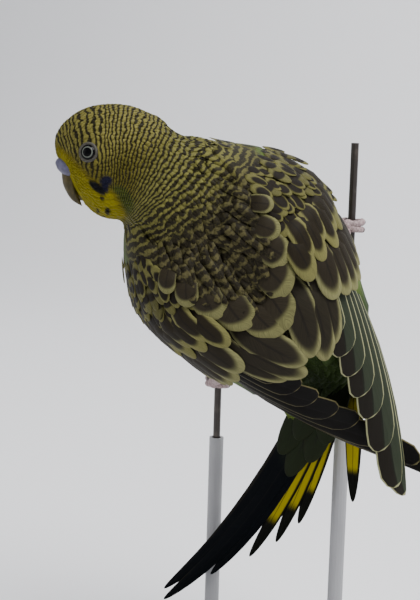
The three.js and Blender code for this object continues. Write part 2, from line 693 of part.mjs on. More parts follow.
function clearOfPalm(legSolid, leg) {
  const palm = new THREE.SphereGeometry(PALM_RADIUS + GAP, 10, 6);
  palm.translate(...gripPoint(leg).toArray());
  return legSolid.subtract(solid(palm).transform(toBird.elements));
}

const wingRight = wing(1).subtract(fleshGrown).subtract(legsGrown);
const wingLeft = wing(-1).subtract(fleshGrown).subtract(legsGrown).subtract(roomUnderRightWing());

addNode(bird, "torso", body.torso, FEATHER);
addNode(bird, "neck", body.neck, FEATHER);
addNode(bird, "head", face.head, FEATHER);
addNode(bird, "cere", face.cere, CERE_BLUE);
addNode(bird, "bill_upper", face.billUpper, HORN);
addNode(bird, "bill_lower", face.billLower, HORN);
addNode(bird, "eye_left", face.eyeLeft, EYE_BLACK);
addNode(bird, "eye_right", face.eyeRight, EYE_BLACK);
addNode(bird, "wing_left", wingLeft, PLUMAGE_DARK);
addNode(bird, "wing_right", wingRight, PLUMAGE_DARK);
addNode(bird, "tail", tail().subtract(fleshGrown), TAIL_BLUE);
addNode(bird, "leg_left", clearOfPalm(legLeft, LEGS.left), SKIN_PINK);
addNode(bird, "leg_right", clearOfPalm(legRight, LEGS.right), SKIN_PINK);
addNode(group, "foot_left", footBodies.left, SKIN_PINK);
addNode(group, "foot_right", footBodies.right, SKIN_PINK);

for (const [side, leg] of Object.entries(LEGS)) {
  const low = leg.grip - WIRE_BELOW;
  addNode(group, `perch_wire_${side}`, uprightRod(WIRE_RADIUS, low, leg.grip + WIRE_ABOVE, leg.wire), STEEL);
  const rod = uprightRod(ROD_RADIUS, BASE_HEIGHT - ROD_PLUG, low + SOCKET_DEPTH, leg.wire);
  const socket = uprightRod(WIRE_RADIUS + GAP, low - GAP, low + SOCKET_DEPTH + 1, leg.wire);
  addNode(group, `stand_rod_${side}`, rod.subtract(socket), STAND_GREY);
}
addNode(group, "stand_base", standBase(), STAND_GREY);

export default group;
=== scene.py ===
# %% [markdown]
# # A budgerigar clinging to two wires
# A still, life-size model of a small green parrot, seen from behind. The solid model comes from the packed
# part. This lesson dresses it: one soft skin, thousands of small feathers laid over it, long wing and tail
# feathers in tiers, then the face, the feet, the wires, the stand, the light and the camera.

import math

import bmesh
import bpy
import numpy as np
from mathutils import Matrix, Vector
from mathutils.bvhtree import BVHTree
from mathutils.kdtree import KDTree


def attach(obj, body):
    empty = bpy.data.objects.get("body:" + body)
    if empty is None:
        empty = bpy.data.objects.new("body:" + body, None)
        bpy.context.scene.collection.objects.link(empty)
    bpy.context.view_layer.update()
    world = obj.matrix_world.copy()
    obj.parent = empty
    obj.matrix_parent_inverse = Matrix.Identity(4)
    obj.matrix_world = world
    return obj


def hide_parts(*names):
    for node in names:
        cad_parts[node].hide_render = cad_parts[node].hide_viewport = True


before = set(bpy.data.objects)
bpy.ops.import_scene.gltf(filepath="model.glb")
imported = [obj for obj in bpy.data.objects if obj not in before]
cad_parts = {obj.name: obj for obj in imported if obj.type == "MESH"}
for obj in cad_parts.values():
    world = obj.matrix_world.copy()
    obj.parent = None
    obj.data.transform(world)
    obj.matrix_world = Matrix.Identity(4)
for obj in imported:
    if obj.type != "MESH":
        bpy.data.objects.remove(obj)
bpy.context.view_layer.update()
print("frame loaded:", len(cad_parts), "nodes")

# %% [markdown]
# ## The bird's own axes
# A bird that leans is easier to shape along its own body than along the room. So each place is given in
# the bird's axes, in millimetres: x from the shoulders to the rump, y to its right and z out of its back.
# The head has axes of its own, forward, left and up, because it is turned to the side. Two small functions
# bring such places into the model's frame, in metres.

# %% Axes
MM = 0.001
SHOULDERS = np.array([-13.2, -16.5, 136.4])
HEAD_MIDDLE = np.array([-18, -6.7, 3.0])


def unit(v):
    return v / np.maximum(np.linalg.norm(v, axis=-1, keepdims=True), 1e-9)


rearward = unit(np.array([0.508, 0.417, -0.754]))
rightward = np.array([0.665, 0.356, 0.656])
rightward = unit(rightward - rearward * (rightward @ rearward))
BIRD = np.stack([rearward, rightward, np.cross(rearward, rightward)])

head_forward = unit(BIRD @ np.array([-0.79, -0.55, -0.275]))
head_up = BIRD @ np.array([-0.323, -0.0165, 0.946])
head_up = unit(head_up - head_forward * (head_up @ head_forward))
HEAD = np.stack([head_forward, np.cross(head_up, head_forward), head_up])


def to_frame(points):
    return (SHOULDERS + np.asarray(points) @ BIRD) * MM


def from_frame(points):
    return (np.asarray(points) / MM - SHOULDERS) @ BIRD.T


def head_to_bird(points):
    return HEAD_MIDDLE + np.asarray(points) @ HEAD


def bird_to_head(points):
    return (np.asarray(points) - HEAD_MIDDLE) @ HEAD.T


def smooth(x, low, high):
    t = np.clip((x - low) / (high - low), 0, 1)
    return t * t * (3 - 2 * t)


def lerp(a, b, t):
    return a + (b - a) * t


print("head centre in the frame, mm:", np.round(to_frame(HEAD_MIDDLE) / MM, 1))

# %% [markdown]
# ## Small helpers for meshes
# A smooth curve through stations shapes every rounded part, the same curve that the solid model uses. A
# sphere is stretched along it: its poles go to the two ends and its rings become the sections.

# %% Curves and stretched spheres
def spline(points, t):
    p = np.asarray(points, float)
    p = np.vstack([2 * p[0] - p[1], p, 2 * p[-1] - p[-2]])
    last = len(p) - 3
    s = np.clip(np.asarray(t) * last, 0, last - 1e-9)
    i = s.astype(int)
    f = (s - i)[:, None]
    a, b, c, d = p[i], p[i + 1], p[i + 2], p[i + 3]
    return 0.5 * (2 * b + (c - a) * f + (2 * a - 5 * b + 4 * c - d) * f**2 + (3 * b - a - 3 * c + d) * f**3)


def stretched(bm, stations, sides, rings, inset=0.0, up=(0, 0, 1), upright=False, place=to_frame):
    """A sphere drawn out along stations of x, y, z, half width and half depth."""
    stations = np.array(stations, float)
    ball = bmesh.ops.create_uvsphere(bm, u_segments=sides, v_segments=rings, radius=1)["verts"]
    co = np.array([v.co for v in ball])
    along = np.arccos(np.clip(co[:, 2], -1, 1)) / math.pi
    angle = np.arctan2(co[:, 1], co[:, 0])
    centre = spline(stations[:, :3], along)
    size = np.maximum(spline(stations[:, 3:], along) - inset, 0.05)
    size[(along < 1e-6) | (along > 1 - 1e-6)] = 0
    step = spline(stations[:, :3], along + 1e-3) - spline(stations[:, :3], along - 1e-3)
    ahead = np.broadcast_to([1.0, 0, 0], centre.shape) if upright else unit(step)
    side = unit(np.cross(ahead, np.broadcast_to(np.asarray(up, float), centre.shape)))
    top = np.cross(side, ahead)
    wide, deep = np.cos(angle) * size[:, 0], np.sin(angle) * size[:, 1]
    points = centre + side * wide[:, None] + top * deep[:, None]
    for vert, point in zip(ball, place(points)):
        vert.co = point
    return ball


def finish_mesh(bm, name, material=None):
    """Turns a bmesh into an object at the origin with outward, smooth faces."""
    bmesh.ops.recalc_face_normals(bm, faces=bm.faces)
    mesh = bpy.data.meshes.new(name)
    bm.to_mesh(mesh)
    bm.free()
    mesh.shade_smooth()
    piece = bpy.data.objects.new(name, mesh)
    bpy.context.scene.collection.objects.link(piece)
    if material:
        mesh.materials.append(material)
    return piece


print("curve check, middle of three points:", spline([[0, 0, 0], [1, 1, 0], [2, 0, 0]], np.array([0.5]))[0])

# %% [markdown]
# ## Shader sums as plain expressions
# Colours on a bird are sums: a dark bar here, a yellow edge there. Writing them as Python expressions is
# shorter than wiring boxes by hand. One small class wraps a socket, and each operator adds a Math node.

# %% Socket class
class Num:
    def __init__(self, tree, socket):
        self.tree = tree
        self.socket = socket

    def node(self, kind, settings=None, **inputs):
        made = self.tree.nodes.new(kind)
        for key, value in (settings or {}).items():
            setattr(made, key, value)
        for key, value in inputs.items():
            target = made.inputs[int(key[1:])] if key[0] == "i" and key[1:].isdigit() else made.inputs[key]
            if isinstance(value, Num):
                self.tree.links.new(value.socket, target)
            else:
                target.default_value = value
        return made

    def math(self, operation, *values):
        inputs = {f"i{k}": value for k, value in enumerate(values)}
        made = self.node("ShaderNodeMath", {"operation": operation}, **inputs)
        return Num(self.tree, made.outputs[0])

    def __add__(self, other):
        return self.math("ADD", self, other)

    def __radd__(self, other):
        return self.math("ADD", other, self)

    def __sub__(self, other):
        return self.math("SUBTRACT", self, other)

    def __rsub__(self, other):
        return self.math("SUBTRACT", other, self)

    def __mul__(self, other):
        return self.math("MULTIPLY", self, other)

    def __rmul__(self, other):
        return self.math("MULTIPLY", other, self)

    def __truediv__(self, other):
        return self.math("DIVIDE", self, other)

    def __abs__(self):
        return self.math("ABSOLUTE", self)

    def sin(self):
        return self.math("SINE", self)

    def power(self, other):
        return self.math("POWER", self, other)

    def larger(self, other):
        return self.math("MAXIMUM", self, other)

    def step(self, low, high, out_low=0.0, out_high=1.0):
        settings = {"interpolation_type": "SMOOTHSTEP"}
        made = self.node("ShaderNodeMapRange", settings, i0=self, i1=low, i2=high, i3=out_low, i4=out_high)
        return Num(self.tree, made.outputs[0])


print("socket class ready")

# %% [markdown]
# ## A finish from a few parts
# Every finish here starts as the same shader with a few fixed values. Then a colour is mixed from noise or
# from numbers stored on the mesh, and the same noise may also roughen the surface a little as a bump.

# %% Finish helpers
def shaded(name, roughness, **constants):
    """A material with its shader; its fixed values are set on the shader's own sockets."""
    material = bpy.data.materials.new(name)
    material.use_nodes = True
    tree = material.node_tree
    shader = tree.nodes["Principled BSDF"]
    shader.inputs["Roughness"].default_value = roughness
    for key, value in constants.items():
        shader.inputs[key.replace("_", " ")].default_value = value
    return material, Num(tree, None), shader


def colour(rgb):
    """Screen values from 0 to 255 as the linear colour that a shader takes."""
    c = np.asarray(rgb, float) / 255
    linear = np.where(c <= 0.04045, c / 12.92, ((c + 0.055) / 1.055) ** 2.4)
    return (*linear, 1.0)


def mix(base, factor, a, b):
    made = base.node("ShaderNodeMix", {"data_type": "RGBA"}, i0=factor, i6=a, i7=b)
    return Num(base.tree, made.outputs[2])


def attribute(base, name, output="Fac"):
    return Num(base.tree, base.node("ShaderNodeAttribute", {"attribute_name": name}).outputs[output])


def noise(base, scale, detail=2.0, vector=None):
    vector = vector or Num(base.tree, base.node("ShaderNodeTexCoord").outputs["Object"])
    made = base.node("ShaderNodeTexNoise", None, Vector=vector, Scale=scale, Detail=detail)
    return Num(base.tree, made.outputs["Fac"])


BUMP_DEPTH = 0.0001


def paint(base, shader, result, bump=None, strength=0.3):
    base.tree.links.new(result.socket, shader.inputs["Base Color"])
    if bump is not None:
        made = base.node("ShaderNodeBump", None, Height=bump, Strength=strength, Distance=BUMP_DEPTH)
        base.tree.links.new(made.outputs[0], shader.inputs["Normal"])


print("screen grey 128 as a linear value:", round(float(colour((128, 128, 128))[0]), 3))

# %% [markdown]
# ## Skin
# Under its feathers a bird has one skin from the face to the tail. It is made of rounded pieces, the trunk,
# neck, head, thighs and the root of the tail, joined by a voxel remesh that melts them into one closed
# surface. It stays a little inside the solid flesh, by the depth of the coat that will lie on it.

# %% Skin stations
TRUNK = [
    (-14, -3, 0.5, 0, 0), (-10, -2.8, -0.2, 10.5, 11), (-1, -1.4, -0.8, 17, 16.2), (11, 0, -1, 20.4, 17.4),
    (25, 0, -1.5, 20.2, 17.2), (38, 0.3, -2, 18, 15.5), (48, 1.8, -1.6, 13.5, 12), (55, 2.4, -1.2, 10, 8.8),
    (60.5, -0.5, -2.2, 7, 5.8), (64.5, -6.5, -4, 0, 0),
]
NECK = [
    (8, -1, 0, 0, 0), (4, -1.6, 0, 14.4, 14.5), (-4, -2.4, 1, 13.4, 14.2), (-11, -3.9, 2.5, 12.6, 13.2),
    (-17, -5, 3.2, 12, 12), (-21.5, -7, 3.5, 0, 0),
]
SKULL = [
    (-14.5, 0, -3, 0, 0), (-12.5, 0, -3, 7, 8.5), (-7, 0, -2.2, 10.2, 12.7), (0, 0, -1.5, 11, 14),
    (5, 0, -1.1, 10, 13.3), (8.4, 0, -0.1, 7.3, 11), (10.3, 0, 1.6, 4.9, 8), (11.8, 0, 3.3, 3.2, 4.4),
    (12.8, 0, 4.2, 0, 0),
]
WIRE_Y = 24
LEGS = {
    "left": {"hip": (38, -9, -9), "knee": (45, -17, -16), "wire": -25.05, "grip": 81.8},
    "right": {"hip": (34, 10, -9), "knee": (38, 20, -13), "wire": 13.05, "grip": 127.8},
}
TAIL_ROOT = np.array([55, 3.8, 0.5])
tail_along = unit(np.array([0.367, -0.88, -0.316]))
tail_across = np.array([0.906, 0.277, 0.32])
tail_across = unit(tail_across - tail_along * (tail_across @ tail_along))
tail_up = np.cross(tail_along, tail_across)


def thigh_stations(leg):
    hip, knee = np.array(leg["hip"], float), np.array(leg["knee"], float)
    sizes = [(0, 0), (0.25, 6.2), (0.7, 4.6), (1, 2.7), (1.12, 0)]
    return [(*lerp(hip, knee, part), size, size) for part, size in sizes]


tail_stump = [(*(TAIL_ROOT + tail_along * far), wide, deep) for far, wide, deep in
              [(-10, 0, 0), (-6, 7.5, 6), (3, 7.4, 4.6), (12, 6.5, 3.2), (19, 4.6, 1.8), (23, 0, 0)]]
print("trunk", len(TRUNK), "stations, skull", len(SKULL))

# %% Skin mesh
COAT_DEPTH = 1.0
FACE_DEPTH = 0.45
SKIN_VOXEL = 0.0007
SKIN_ROUNDS = 9
bm = bmesh.new()
stretched(bm, TRUNK, 40, 40, inset=COAT_DEPTH)
stretched(bm, NECK, 36, 26, inset=COAT_DEPTH * 0.7)
stretched(bm, SKULL, 40, 40, inset=FACE_DEPTH, upright=True, place=lambda p: to_frame(head_to_bird(p)))
for leg in LEGS.values():
    stretched(bm, thigh_stations(leg), 20, 16, inset=COAT_DEPTH * 0.6, up=(0.2, 0.3, 1))
stretched(bm, tail_stump, 20, 20, up=tail_up)
rough_skin = finish_mesh(bm, "rough_skin")


def melted(rough, name, voxel, rounds):
    """Melts overlapping rounded pieces into one closed, softened surface."""
    remesh = rough.modifiers.new("melt", "REMESH")
    remesh.mode = "VOXEL"
    remesh.voxel_size = voxel
    soften = rough.modifiers.new("soften", "SMOOTH")
    soften.factor = 0.5
    soften.iterations = rounds
    graph = bpy.context.evaluated_depsgraph_get()
    mesh = bpy.data.meshes.new_from_object(rough.evaluated_get(graph))
    bpy.data.objects.remove(rough)
    mesh.name = name
    mesh.shade_smooth()
    piece = bpy.data.objects.new(name, mesh)
    bpy.context.scene.collection.objects.link(piece)
    return piece


skin = melted(rough_skin, "skin", SKIN_VOXEL, SKIN_ROUNDS)
skin_mesh = skin.data
print("skin faces:", len(skin_mesh.polygons))

# %% [markdown]
# ## Unwrapping the skin
# Each piece gets a map on which its colours can be baked into a picture, and each feather needs a place on
# such a picture. The skin is unwrapped by its own shape, and a feather will sit where its root does.

# %% Unwrap
bpy.context.view_layer.objects.active = skin
skin.select_set(True)
bpy.ops.object.mode_set(mode="EDIT")
bpy.ops.mesh.select_all(action="SELECT")
bpy.ops.uv.smart_project(angle_limit=math.radians(66), island_margin=0.004)
bpy.ops.object.mode_set(mode="OBJECT")
skin.select_set(False)
skin_mesh.uv_layers.active.name = "OFBake"
skin_mesh.calc_loop_triangles()

skin_co = np.empty(len(skin_mesh.vertices) * 3)
skin_mesh.vertices.foreach_get("co", skin_co)
skin_co = skin_co.reshape(-1, 3)
tri_verts = np.empty(len(skin_mesh.loop_triangles) * 3, int)
tri_loops = tri_verts.copy()
skin_mesh.loop_triangles.foreach_get("vertices", tri_verts)
skin_mesh.loop_triangles.foreach_get("loops", tri_loops)
tri_verts, tri_loops = tri_verts.reshape(-1, 3), tri_loops.reshape(-1, 3)
skin_uv = np.empty(len(skin_mesh.loops) * 2)
skin_mesh.uv_layers["OFBake"].data.foreach_get("uv", skin_uv)
skin_uv = skin_uv.reshape(-1, 2)
skin_bird = from_frame(skin_co)
print("skin spans, mm:", np.round(skin_bird.min(0)), np.round(skin_bird.max(0)))

# %% [markdown]
# ## Markings
# The bars run across the feathers. On the head they stand upright, round the bend of the neck they fan
# about a point at the left shoulder, and on the back they lie straight across. Close to the bill they bend
# a little towards rings round it. One number, the wave, counts the bars along the way; its spacing grows
# from the face to the back. Skin and feathers both read it, so the markings meet.

# %% The wave and the way the feathers lie
FAN_POINT = np.array([-3, -19.0])
HEAD_WAY = unit(np.array([0.63, 0.77]))
FAN_ANGLE = math.atan2(HEAD_WAY[1], HEAD_WAY[0])
FAN_RADIUS = 24
SPREAD = 0.011
BAR_BEND = 0.16
WAVE_AT = np.array([-16, 0, 10, 21, 28, 36, 60, 100])
WAVE_LENGTH = np.array([0.66, 0.84, 1.06, 1.6, 2.1, 2.5, 2.8, 3.2])
BILL_ROOT = head_to_bird(np.array([10.5, 0, -2]))
RINGED = 0.3


def distance_back(p):
    """How far back along the bird a place lies, in mm, and the direction in which that grows."""
    offset = p[:, :2] - FAN_POINT
    before = offset @ HEAD_WAY
    aside = np.linalg.norm(p - BILL_ROOT, axis=1) + (BILL_ROOT[:2] - FAN_POINT) @ HEAD_WAY - before
    ringed = before + RINGED * aside * (1 - smooth(before, -9, -0.5))
    radius = np.maximum(np.linalg.norm(offset, axis=1), 4)
    turned = np.arctan2(offset[:, 1], offset[:, 0])
    angle = FAN_ANGLE - (turned - math.pi / 2)
    fan = np.clip(angle, 0, FAN_ANGLE) * FAN_RADIUS
    spread = SPREAD * smooth(p[:, 0], -3, 14)
    beyond = FAN_ANGLE * FAN_RADIUS + offset[:, 0] + spread * p[:, 1] ** 2
    value = np.where(before < 0, ringed, np.where(offset[:, 0] > 0, beyond, fan))
    way = np.zeros_like(p)
    tangent = np.stack([offset[:, 1], -offset[:, 0]], 1) / radius[:, None]
    back = np.stack([np.ones(len(p)), 2 * spread * p[:, 1]], 1)
    behind = np.where((offset[:, 0] > 0)[:, None], back, tangent)
    way[:, :2] = np.where((before < 0)[:, None], HEAD_WAY, behind)
    return value, unit(way)


wave_steps = np.linspace(-20, 100, 1201)
wave_count = np.cumsum(0.1 / np.interp(wave_steps, WAVE_AT, WAVE_LENGTH))


def wave(p):
    return np.interp(distance_back(p)[0], wave_steps, wave_count)


print("bars from bill to rump:", round(float(wave(np.array([[55.0, 0, 10]]))[0])))

# %% [markdown]
# ## Colours of the coat
# A wild-type budgerigar has a yellow mask, black throat spots, a violet patch on each cheek, a barred
# crown, nape and back, and a green rump and breast. Each mark is a soft-edged region, given by its place on
# the head or body, and laid over the last like paint.

# %% Colour regions
# The rump colour is partly the bird's own darker green and partly painted shade where the rump lies between
# the wings.
COLOURS = {
    "crown": (106, 100, 48), "cheek": (78, 72, 20), "nape": (97, 94, 46), "mantle": (74, 69, 42),
    "mask": (113, 105, 5), "breast": (62, 76, 22), "belly": (78, 98, 30), "rump": (46, 62, 24),
    "patch": (14, 14, 32), "spot": (5, 5, 8), "vent": (92, 108, 36), "face": (94, 84, 12),
}
DARK_HEAD = (24, 21, 8)
DARK_BACK = (24, 20, 12)
NAPE, MANTLE, GREEN_RUMP = (6, 16), (22, 34), (43, 48)
CHEEK_BELOW, DARK_BY = (-3, 6), (12, 28)
MASK_EDGE_B = np.array([-15, -13, -10, -8, -4.8, -2, 2, 5, 8])
MASK_EDGE_A = np.array([0.2, 0.5, 1.2, 2.6, 6.0, 7.4, 9.4, 11.6, 14])
SPOTS = [(4.6, -9.9, 0.55), (6.4, -12.2, 0.55), (4.2, -12.9, 0.85), (5.7, -14.2, 0.8)]


def blob(h, a, b, ra, rb, turn=0.0):
    """1 inside an ellipse on the cheek, 0 outside, with a soft edge."""
    da, db = h[:, 0] - a, h[:, 2] - b
    c, s = math.cos(turn), math.sin(turn)
    r = np.sqrt(((da * c + db * s) / ra) ** 2 + ((db * c - da * s) / rb) ** 2)
    return 1 - smooth(r, 0.75, 1.15)


def markings(p):
    """Ground colour, bar colour and strength of the bars at places in the bird's axes."""
    h = bird_to_head(p)
    back, _ = distance_back(p)
    tint = {key: np.array(colour(value)[:3]) for key, value in COLOURS.items()}
    ground = np.tile(tint["crown"], (len(p), 1))

    def lay(name, amount):
        ground[:] = lerp(ground, tint[name], np.clip(amount, 0, 1)[:, None])

    lay("cheek", smooth(-h[:, 2], *CHEEK_BELOW))
    lay("nape", smooth(back, *NAPE))
    lay("mantle", smooth(back, *MANTLE))
    dorsal = np.arctan2(p[:, 2] - 0.5, np.abs(p[:, 1] + 1))
    limit = np.where(p[:, 1] < 0, 0.1, -0.25)
    limit = lerp(limit, 0.35, smooth(p[:, 0], -2, 8))
    barred = smooth(dorsal, limit - 0.12, limit + 0.12)
    barred = np.maximum(barred, 1 - smooth(back, 4, 12))
    throat = (1 - smooth(h[:, 2], -13.5, -12)) * (1 - smooth(back, 3, 8))
    barred = barred * (1 - 0.8 * throat)
    lay("breast", 1 - barred)
    lay("belly", (1 - barred) * smooth(p[:, 0], 0, 12))
    # Painted shade: the rump's green is laid darker over the rump, which lies between the wings.
    rump = smooth(p[:, 0], *GREEN_RUMP) * smooth(p[:, 2], -6, 2)
    lay("rump", rump)
    lay("vent", smooth(p[:, 0], 50, 58) * (1 - smooth(p[:, 2], -8, -2)))
    edge = np.interp(h[:, 2], MASK_EDGE_B, MASK_EDGE_A)
    on_head = 1 - smooth(back, -2, 3)
    on_face = np.where(h[:, 2] < -4, smooth(h[:, 0] + 0.35 * h[:, 2], -6.5, -4.5), 1.0)
    mask = smooth(h[:, 0] - edge, -0.9, 0.5) * smooth(h[:, 2], -16.5, -14.5) * np.maximum(on_head, on_face)
    lay("face", np.clip(mask, 0, 1))
    lay("mask", mask * smooth(h[:, 0] - edge, 0.0, 1.6))
    near = blob(h, 5.1, -7.3, 2.5, 0.95, 0.95)
    cheek = np.maximum(blob(h, 2.7, -6.6, 1.6, 1.3), blob(h, 3.2, -7.7, 2.0, 1.0, 2.02))
    lay("patch", cheek)
    lay("spot", near)
    lay("breast", blob(h, 0.3, -11.6, 2.4, 3.6, -0.3) * (1 - mask) * 0.75)
    for a, b, r in SPOTS:
        lay("spot", blob(h, a, b, r * 0.8, r))
    strength = barred * (1 - mask) * (1 - rump) * (1 - smooth(p[:, 0], 42, 47))
    strength = strength * (1 - np.maximum(near, cheek))
    head_dark, back_dark = np.array(colour(DARK_HEAD)[:3]), np.array(colour(DARK_BACK)[:3])
    dark = lerp(head_dark, back_dark, smooth(back, *DARK_BY)[:, None])
    return ground, dark, strength


ground, dark, strength = markings(skin_bird)
print("share of the skin that is barred:", round(float((strength > 0.5).mean()), 2))

# %% Coat material
def put(mesh, name, values):
    """Stores one number or one colour for each vertex."""
    kind = "FLOAT" if values.ndim == 1 else "FLOAT_COLOR"
    layer = mesh.attributes.new(name, kind, "POINT")
    if values.ndim == 1:
        layer.data.foreach_set("value", values.astype(np.float32))
    else:
        rgba = np.ones((len(values), 4), np.float32)
        rgba[:, :3] = values
        layer.data.foreach_set("color", rgba.ravel())


def put_markings(mesh, p, jitter=0.0, tone=1.0):
    ground, dark, strength = markings(p)
    put(mesh, "ground", ground * np.asarray(tone).reshape(-1, 1))
    put(mesh, "dark", dark)
    put(mesh, "bars", strength)
    put(mesh, "broad", smooth(distance_back(p)[0], 14, 32))
    put(mesh, "wave", wave(p) + jitter)


def coat_material():
    material, base, shader = shaded("plumage_body", roughness=0.62, Specular_IOR_Level=0.1)
    rough_edge = noise(base, 900.0) - 0.5
    ripple = noise(base, 190.0) - 0.5
    broad = attribute(base, "broad")
    wobble = noise(base, 480.0) - 0.5
    shift = rough_edge * (0.35 + broad * 0.35) + ripple * (1.7 - broad * 0.4) + wobble * 1.1
    angle = (attribute(base, "wave") + shift) * (2 * math.pi)
    bar = (angle.sin() - 0.15 + broad * 0.6).step(-0.5, 0.5) * attribute(base, "bars")
    fleck = noise(base, 2600.0, 3.0)
    ground = attribute(base, "ground", "Color")
    black = (0.0, 0.0, 0.0, 1.0)
    worn = mix(base, (1.0 - fleck.step(0.3, 0.62)) * (0.12 + broad * 0.3), ground, black)
    dark = mix(base, fleck.step(0.45, 0.75) * 0.3 * broad, attribute(base, "dark", "Color"), ground)
    paint(base, shader, mix(base, bar * 0.97, worn, dark), fleck, 0.2)
    return material


coat_finish = coat_material()
skin_mesh.materials.append(coat_finish)
put_markings(skin_mesh, skin_bird)
print("coat finish made")

# %% [markdown]
# ## One feather shape for all
# Each feather is a flattened sphere: its poles are the root and the tip, and its section is a thin lens, so
# it is closed and its edge is fine. Thousands are made at once by moving copies of one template, and a
# place function says where a point of the feather lies, on the skin or on the wing.

# %% Feather builder
CAMBER = 0.12
COVERT_RINGS = (0, 0.14, 0.4, 0.68, 0.88, 0.97, 1)
LONG_RINGS = (0, 0.05, 0.14, 0.25, 0.37, 0.5, 0.62, 0.73, 0.82, 0.89, 0.94, 0.975, 0.993, 1)


def outline(t, root=0.5, full=0.4, round_from=0.7, power=2.0):
    past = np.clip((t - round_from) / (1 - round_from), 0, 1)
    return lerp(root, 1, smooth(t, 0, full)) * np.sqrt(np.maximum(1 - past**power, 0))


def template(sides, rings):
    """Vertex places (t along, s across, q up or down) and faces of one closed feather."""
    bm = bmesh.new()
    bmesh.ops.create_uvsphere(bm, u_segments=sides, v_segments=len(rings) - 1, radius=1)
    co = np.array([v.co for v in bm.verts])
    along = np.arccos(np.clip(co[:, 2], -1, 1)) / math.pi * (len(rings) - 1)
    angle = np.arctan2(co[:, 1], co[:, 0])
    pole = np.abs(co[:, 2]) > 1 - 1e-6
    ring = np.round(along).astype(int)
    s = np.where(pole, 0, np.cos(angle))
    q = np.where(pole, 0, np.sin(angle))
    faces = [[v.index for v in f.verts] for f in bm.faces]
    bm.free()
    return np.array(rings)[ring], ring, s, q, faces


print("template faces:", len(template(6, COVERT_RINGS)[4]), "and", len(template(16, LONG_RINGS)[4]))

# %% [markdown]
# ## Many feathers as one mesh
# A real bird has thousands of feathers, and an object for each would be slow. So the template is copied for
# all of them at once, and a place function bends each copy to its spot. Every feather gets a small patch on
# the bake picture, at its root's place, and a second map that says how far along and across the vane is.

# %% Join feathers
BAKE_PATCH = 0.003


def feathers(name, count, place, half_width, thick, sides, rings, shape, camber, markings_of=None,
             roots_uv=None, seeds=None):
    """Joins many feathers into one mesh. place(ring, t, off, rise) gives points in the bird's axes."""
    t, ring, s, q, faces = template(sides, rings)
    width = np.asarray(half_width).reshape(-1, 1) * outline(t, **shape)[None, :]
    off = width * s[None, :]
    rise = np.asarray(thick).reshape(-1, 1) * q[None, :] * 0.5 * np.minimum(outline(t) * 1.3, 1)[None, :]
    rise = rise - camber * (s**2)[None, :] * width
    points = place(ring, np.broadcast_to(t, off.shape), off, rise)
    flat = points.reshape(-1, 3)
    n = len(t)
    sizes = np.array([len(f) for f in faces])
    corner = np.concatenate([np.array(f) for f in faces])
    corners = (corner[None, :] + (np.arange(count) * n)[:, None]).ravel()
    starts = np.concatenate([[0], np.cumsum(np.tile(sizes, count))[:-1]])
    mesh = bpy.data.meshes.new(name)
    mesh.vertices.add(len(flat))
    mesh.vertices.foreach_set("co", to_frame(flat).astype(np.float32).ravel())
    mesh.loops.add(len(corners))
    mesh.loops.foreach_set("vertex_index", corners.astype(np.int32))
    mesh.polygons.add(len(starts))
    mesh.polygons.foreach_set("loop_start", starts.astype(np.int32))
    mesh.update(calc_edges=True)
    mesh.validate()
    bm = bmesh.new()
    bm.from_mesh(mesh)
    bmesh.ops.recalc_face_normals(bm, faces=bm.faces)
    bm.to_mesh(mesh)
    bm.free()
    mesh.shade_smooth()
    loops = np.empty(len(mesh.loops), np.int32)
    mesh.loops.foreach_get("vertex_index", loops)
    which, local = loops // n, loops % n
    vane = np.stack([t[local], 0.5 + 0.5 * s[local]], 1)
    if roots_uv is not None:
        bake = roots_uv[which] + (vane - 0.5) * BAKE_PATCH
    else:
        row = math.ceil(math.sqrt(count))
        cell = np.stack([which % row, which // row], 1)
        bake = (cell + 0.06 + 0.88 * vane) / row
    mesh.uv_layers.new(name="OFBake").data.foreach_set("uv", bake.astype(np.float32).ravel())
    mesh.uv_layers.new(name="vane").data.foreach_set("uv", vane.astype(np.float32).ravel())
    mesh.uv_layers.active = mesh.uv_layers["OFBake"]
    if markings_of is not None:
        markings_of(mesh, flat, np.repeat(np.arange(count), n), np.tile(s, count))
    if seeds is not None:
        put(mesh, "seed", np.repeat(seeds, n))
    piece = bpy.data.objects.new(name, mesh)
    bpy.context.scene.collection.objects.link(piece)
    return piece


print("feather builder ready")

# %% [markdown]
# ## Roots of the coat
# Feathers grow evenly, close together on the face and further apart on the belly. Random places are strewn
# over the skin, and then each kept place clears the ones too near to it. The bare ring round the eye and
# the skin under the bill's horn are left out later.

# %% Strew the roots
rng = np.random.default_rng(7)
CANDIDATES = 150000
ROOT_SPACING = 0.29


def feather_length(p):
    h = bird_to_head(p)
    back, _ = distance_back(p)
    face = 1 - smooth(np.linalg.norm(h - np.array([11, 0, -2]), axis=1), 4, 13)
    length = lerp(2.4, 3.4, smooth(back, 4, 18))
    length = lerp(length, 5.6, smooth(back, 22, 36))
    length = lerp(length, 6.4, smooth(p[:, 0], -2, 10) * (1 - smooth(p[:, 2], -4, 4)))
    return lerp(length, 1.5, face)


corner = skin_co[tri_verts]
area = np.linalg.norm(np.cross(corner[:, 1] - corner[:, 0], corner[:, 2] - corner[:, 0]), axis=1)
weight = area / feather_length(from_frame(corner.mean(1))) ** 2
pick = rng.choice(len(area), CANDIDATES, p=weight / weight.sum())
w = rng.random((CANDIDATES, 2))
w = np.where(w.sum(1, keepdims=True) > 1, 1 - w, w)
w = np.column_stack([1 - w.sum(1), w])
places = (corner[pick] * w[:, :, None]).sum(1)
places_uv = (skin_uv[tri_loops[pick]] * w[:, :, None]).sum(1)
places_bird = from_frame(places)
reach = feather_length(places_bird)

tree = KDTree(CANDIDATES)
for i, point in enumerate(places_bird):
    tree.insert(point, i)
tree.balance()
free = np.ones(CANDIDATES, bool)
kept = []
for i in range(CANDIDATES):
    if free[i]:
        kept.append(i)
        for _, j, _ in tree.find_range(places_bird[i], reach[i] * ROOT_SPACING):
            free[j] = False
kept = np.array(kept)
print("roots kept:", len(kept))

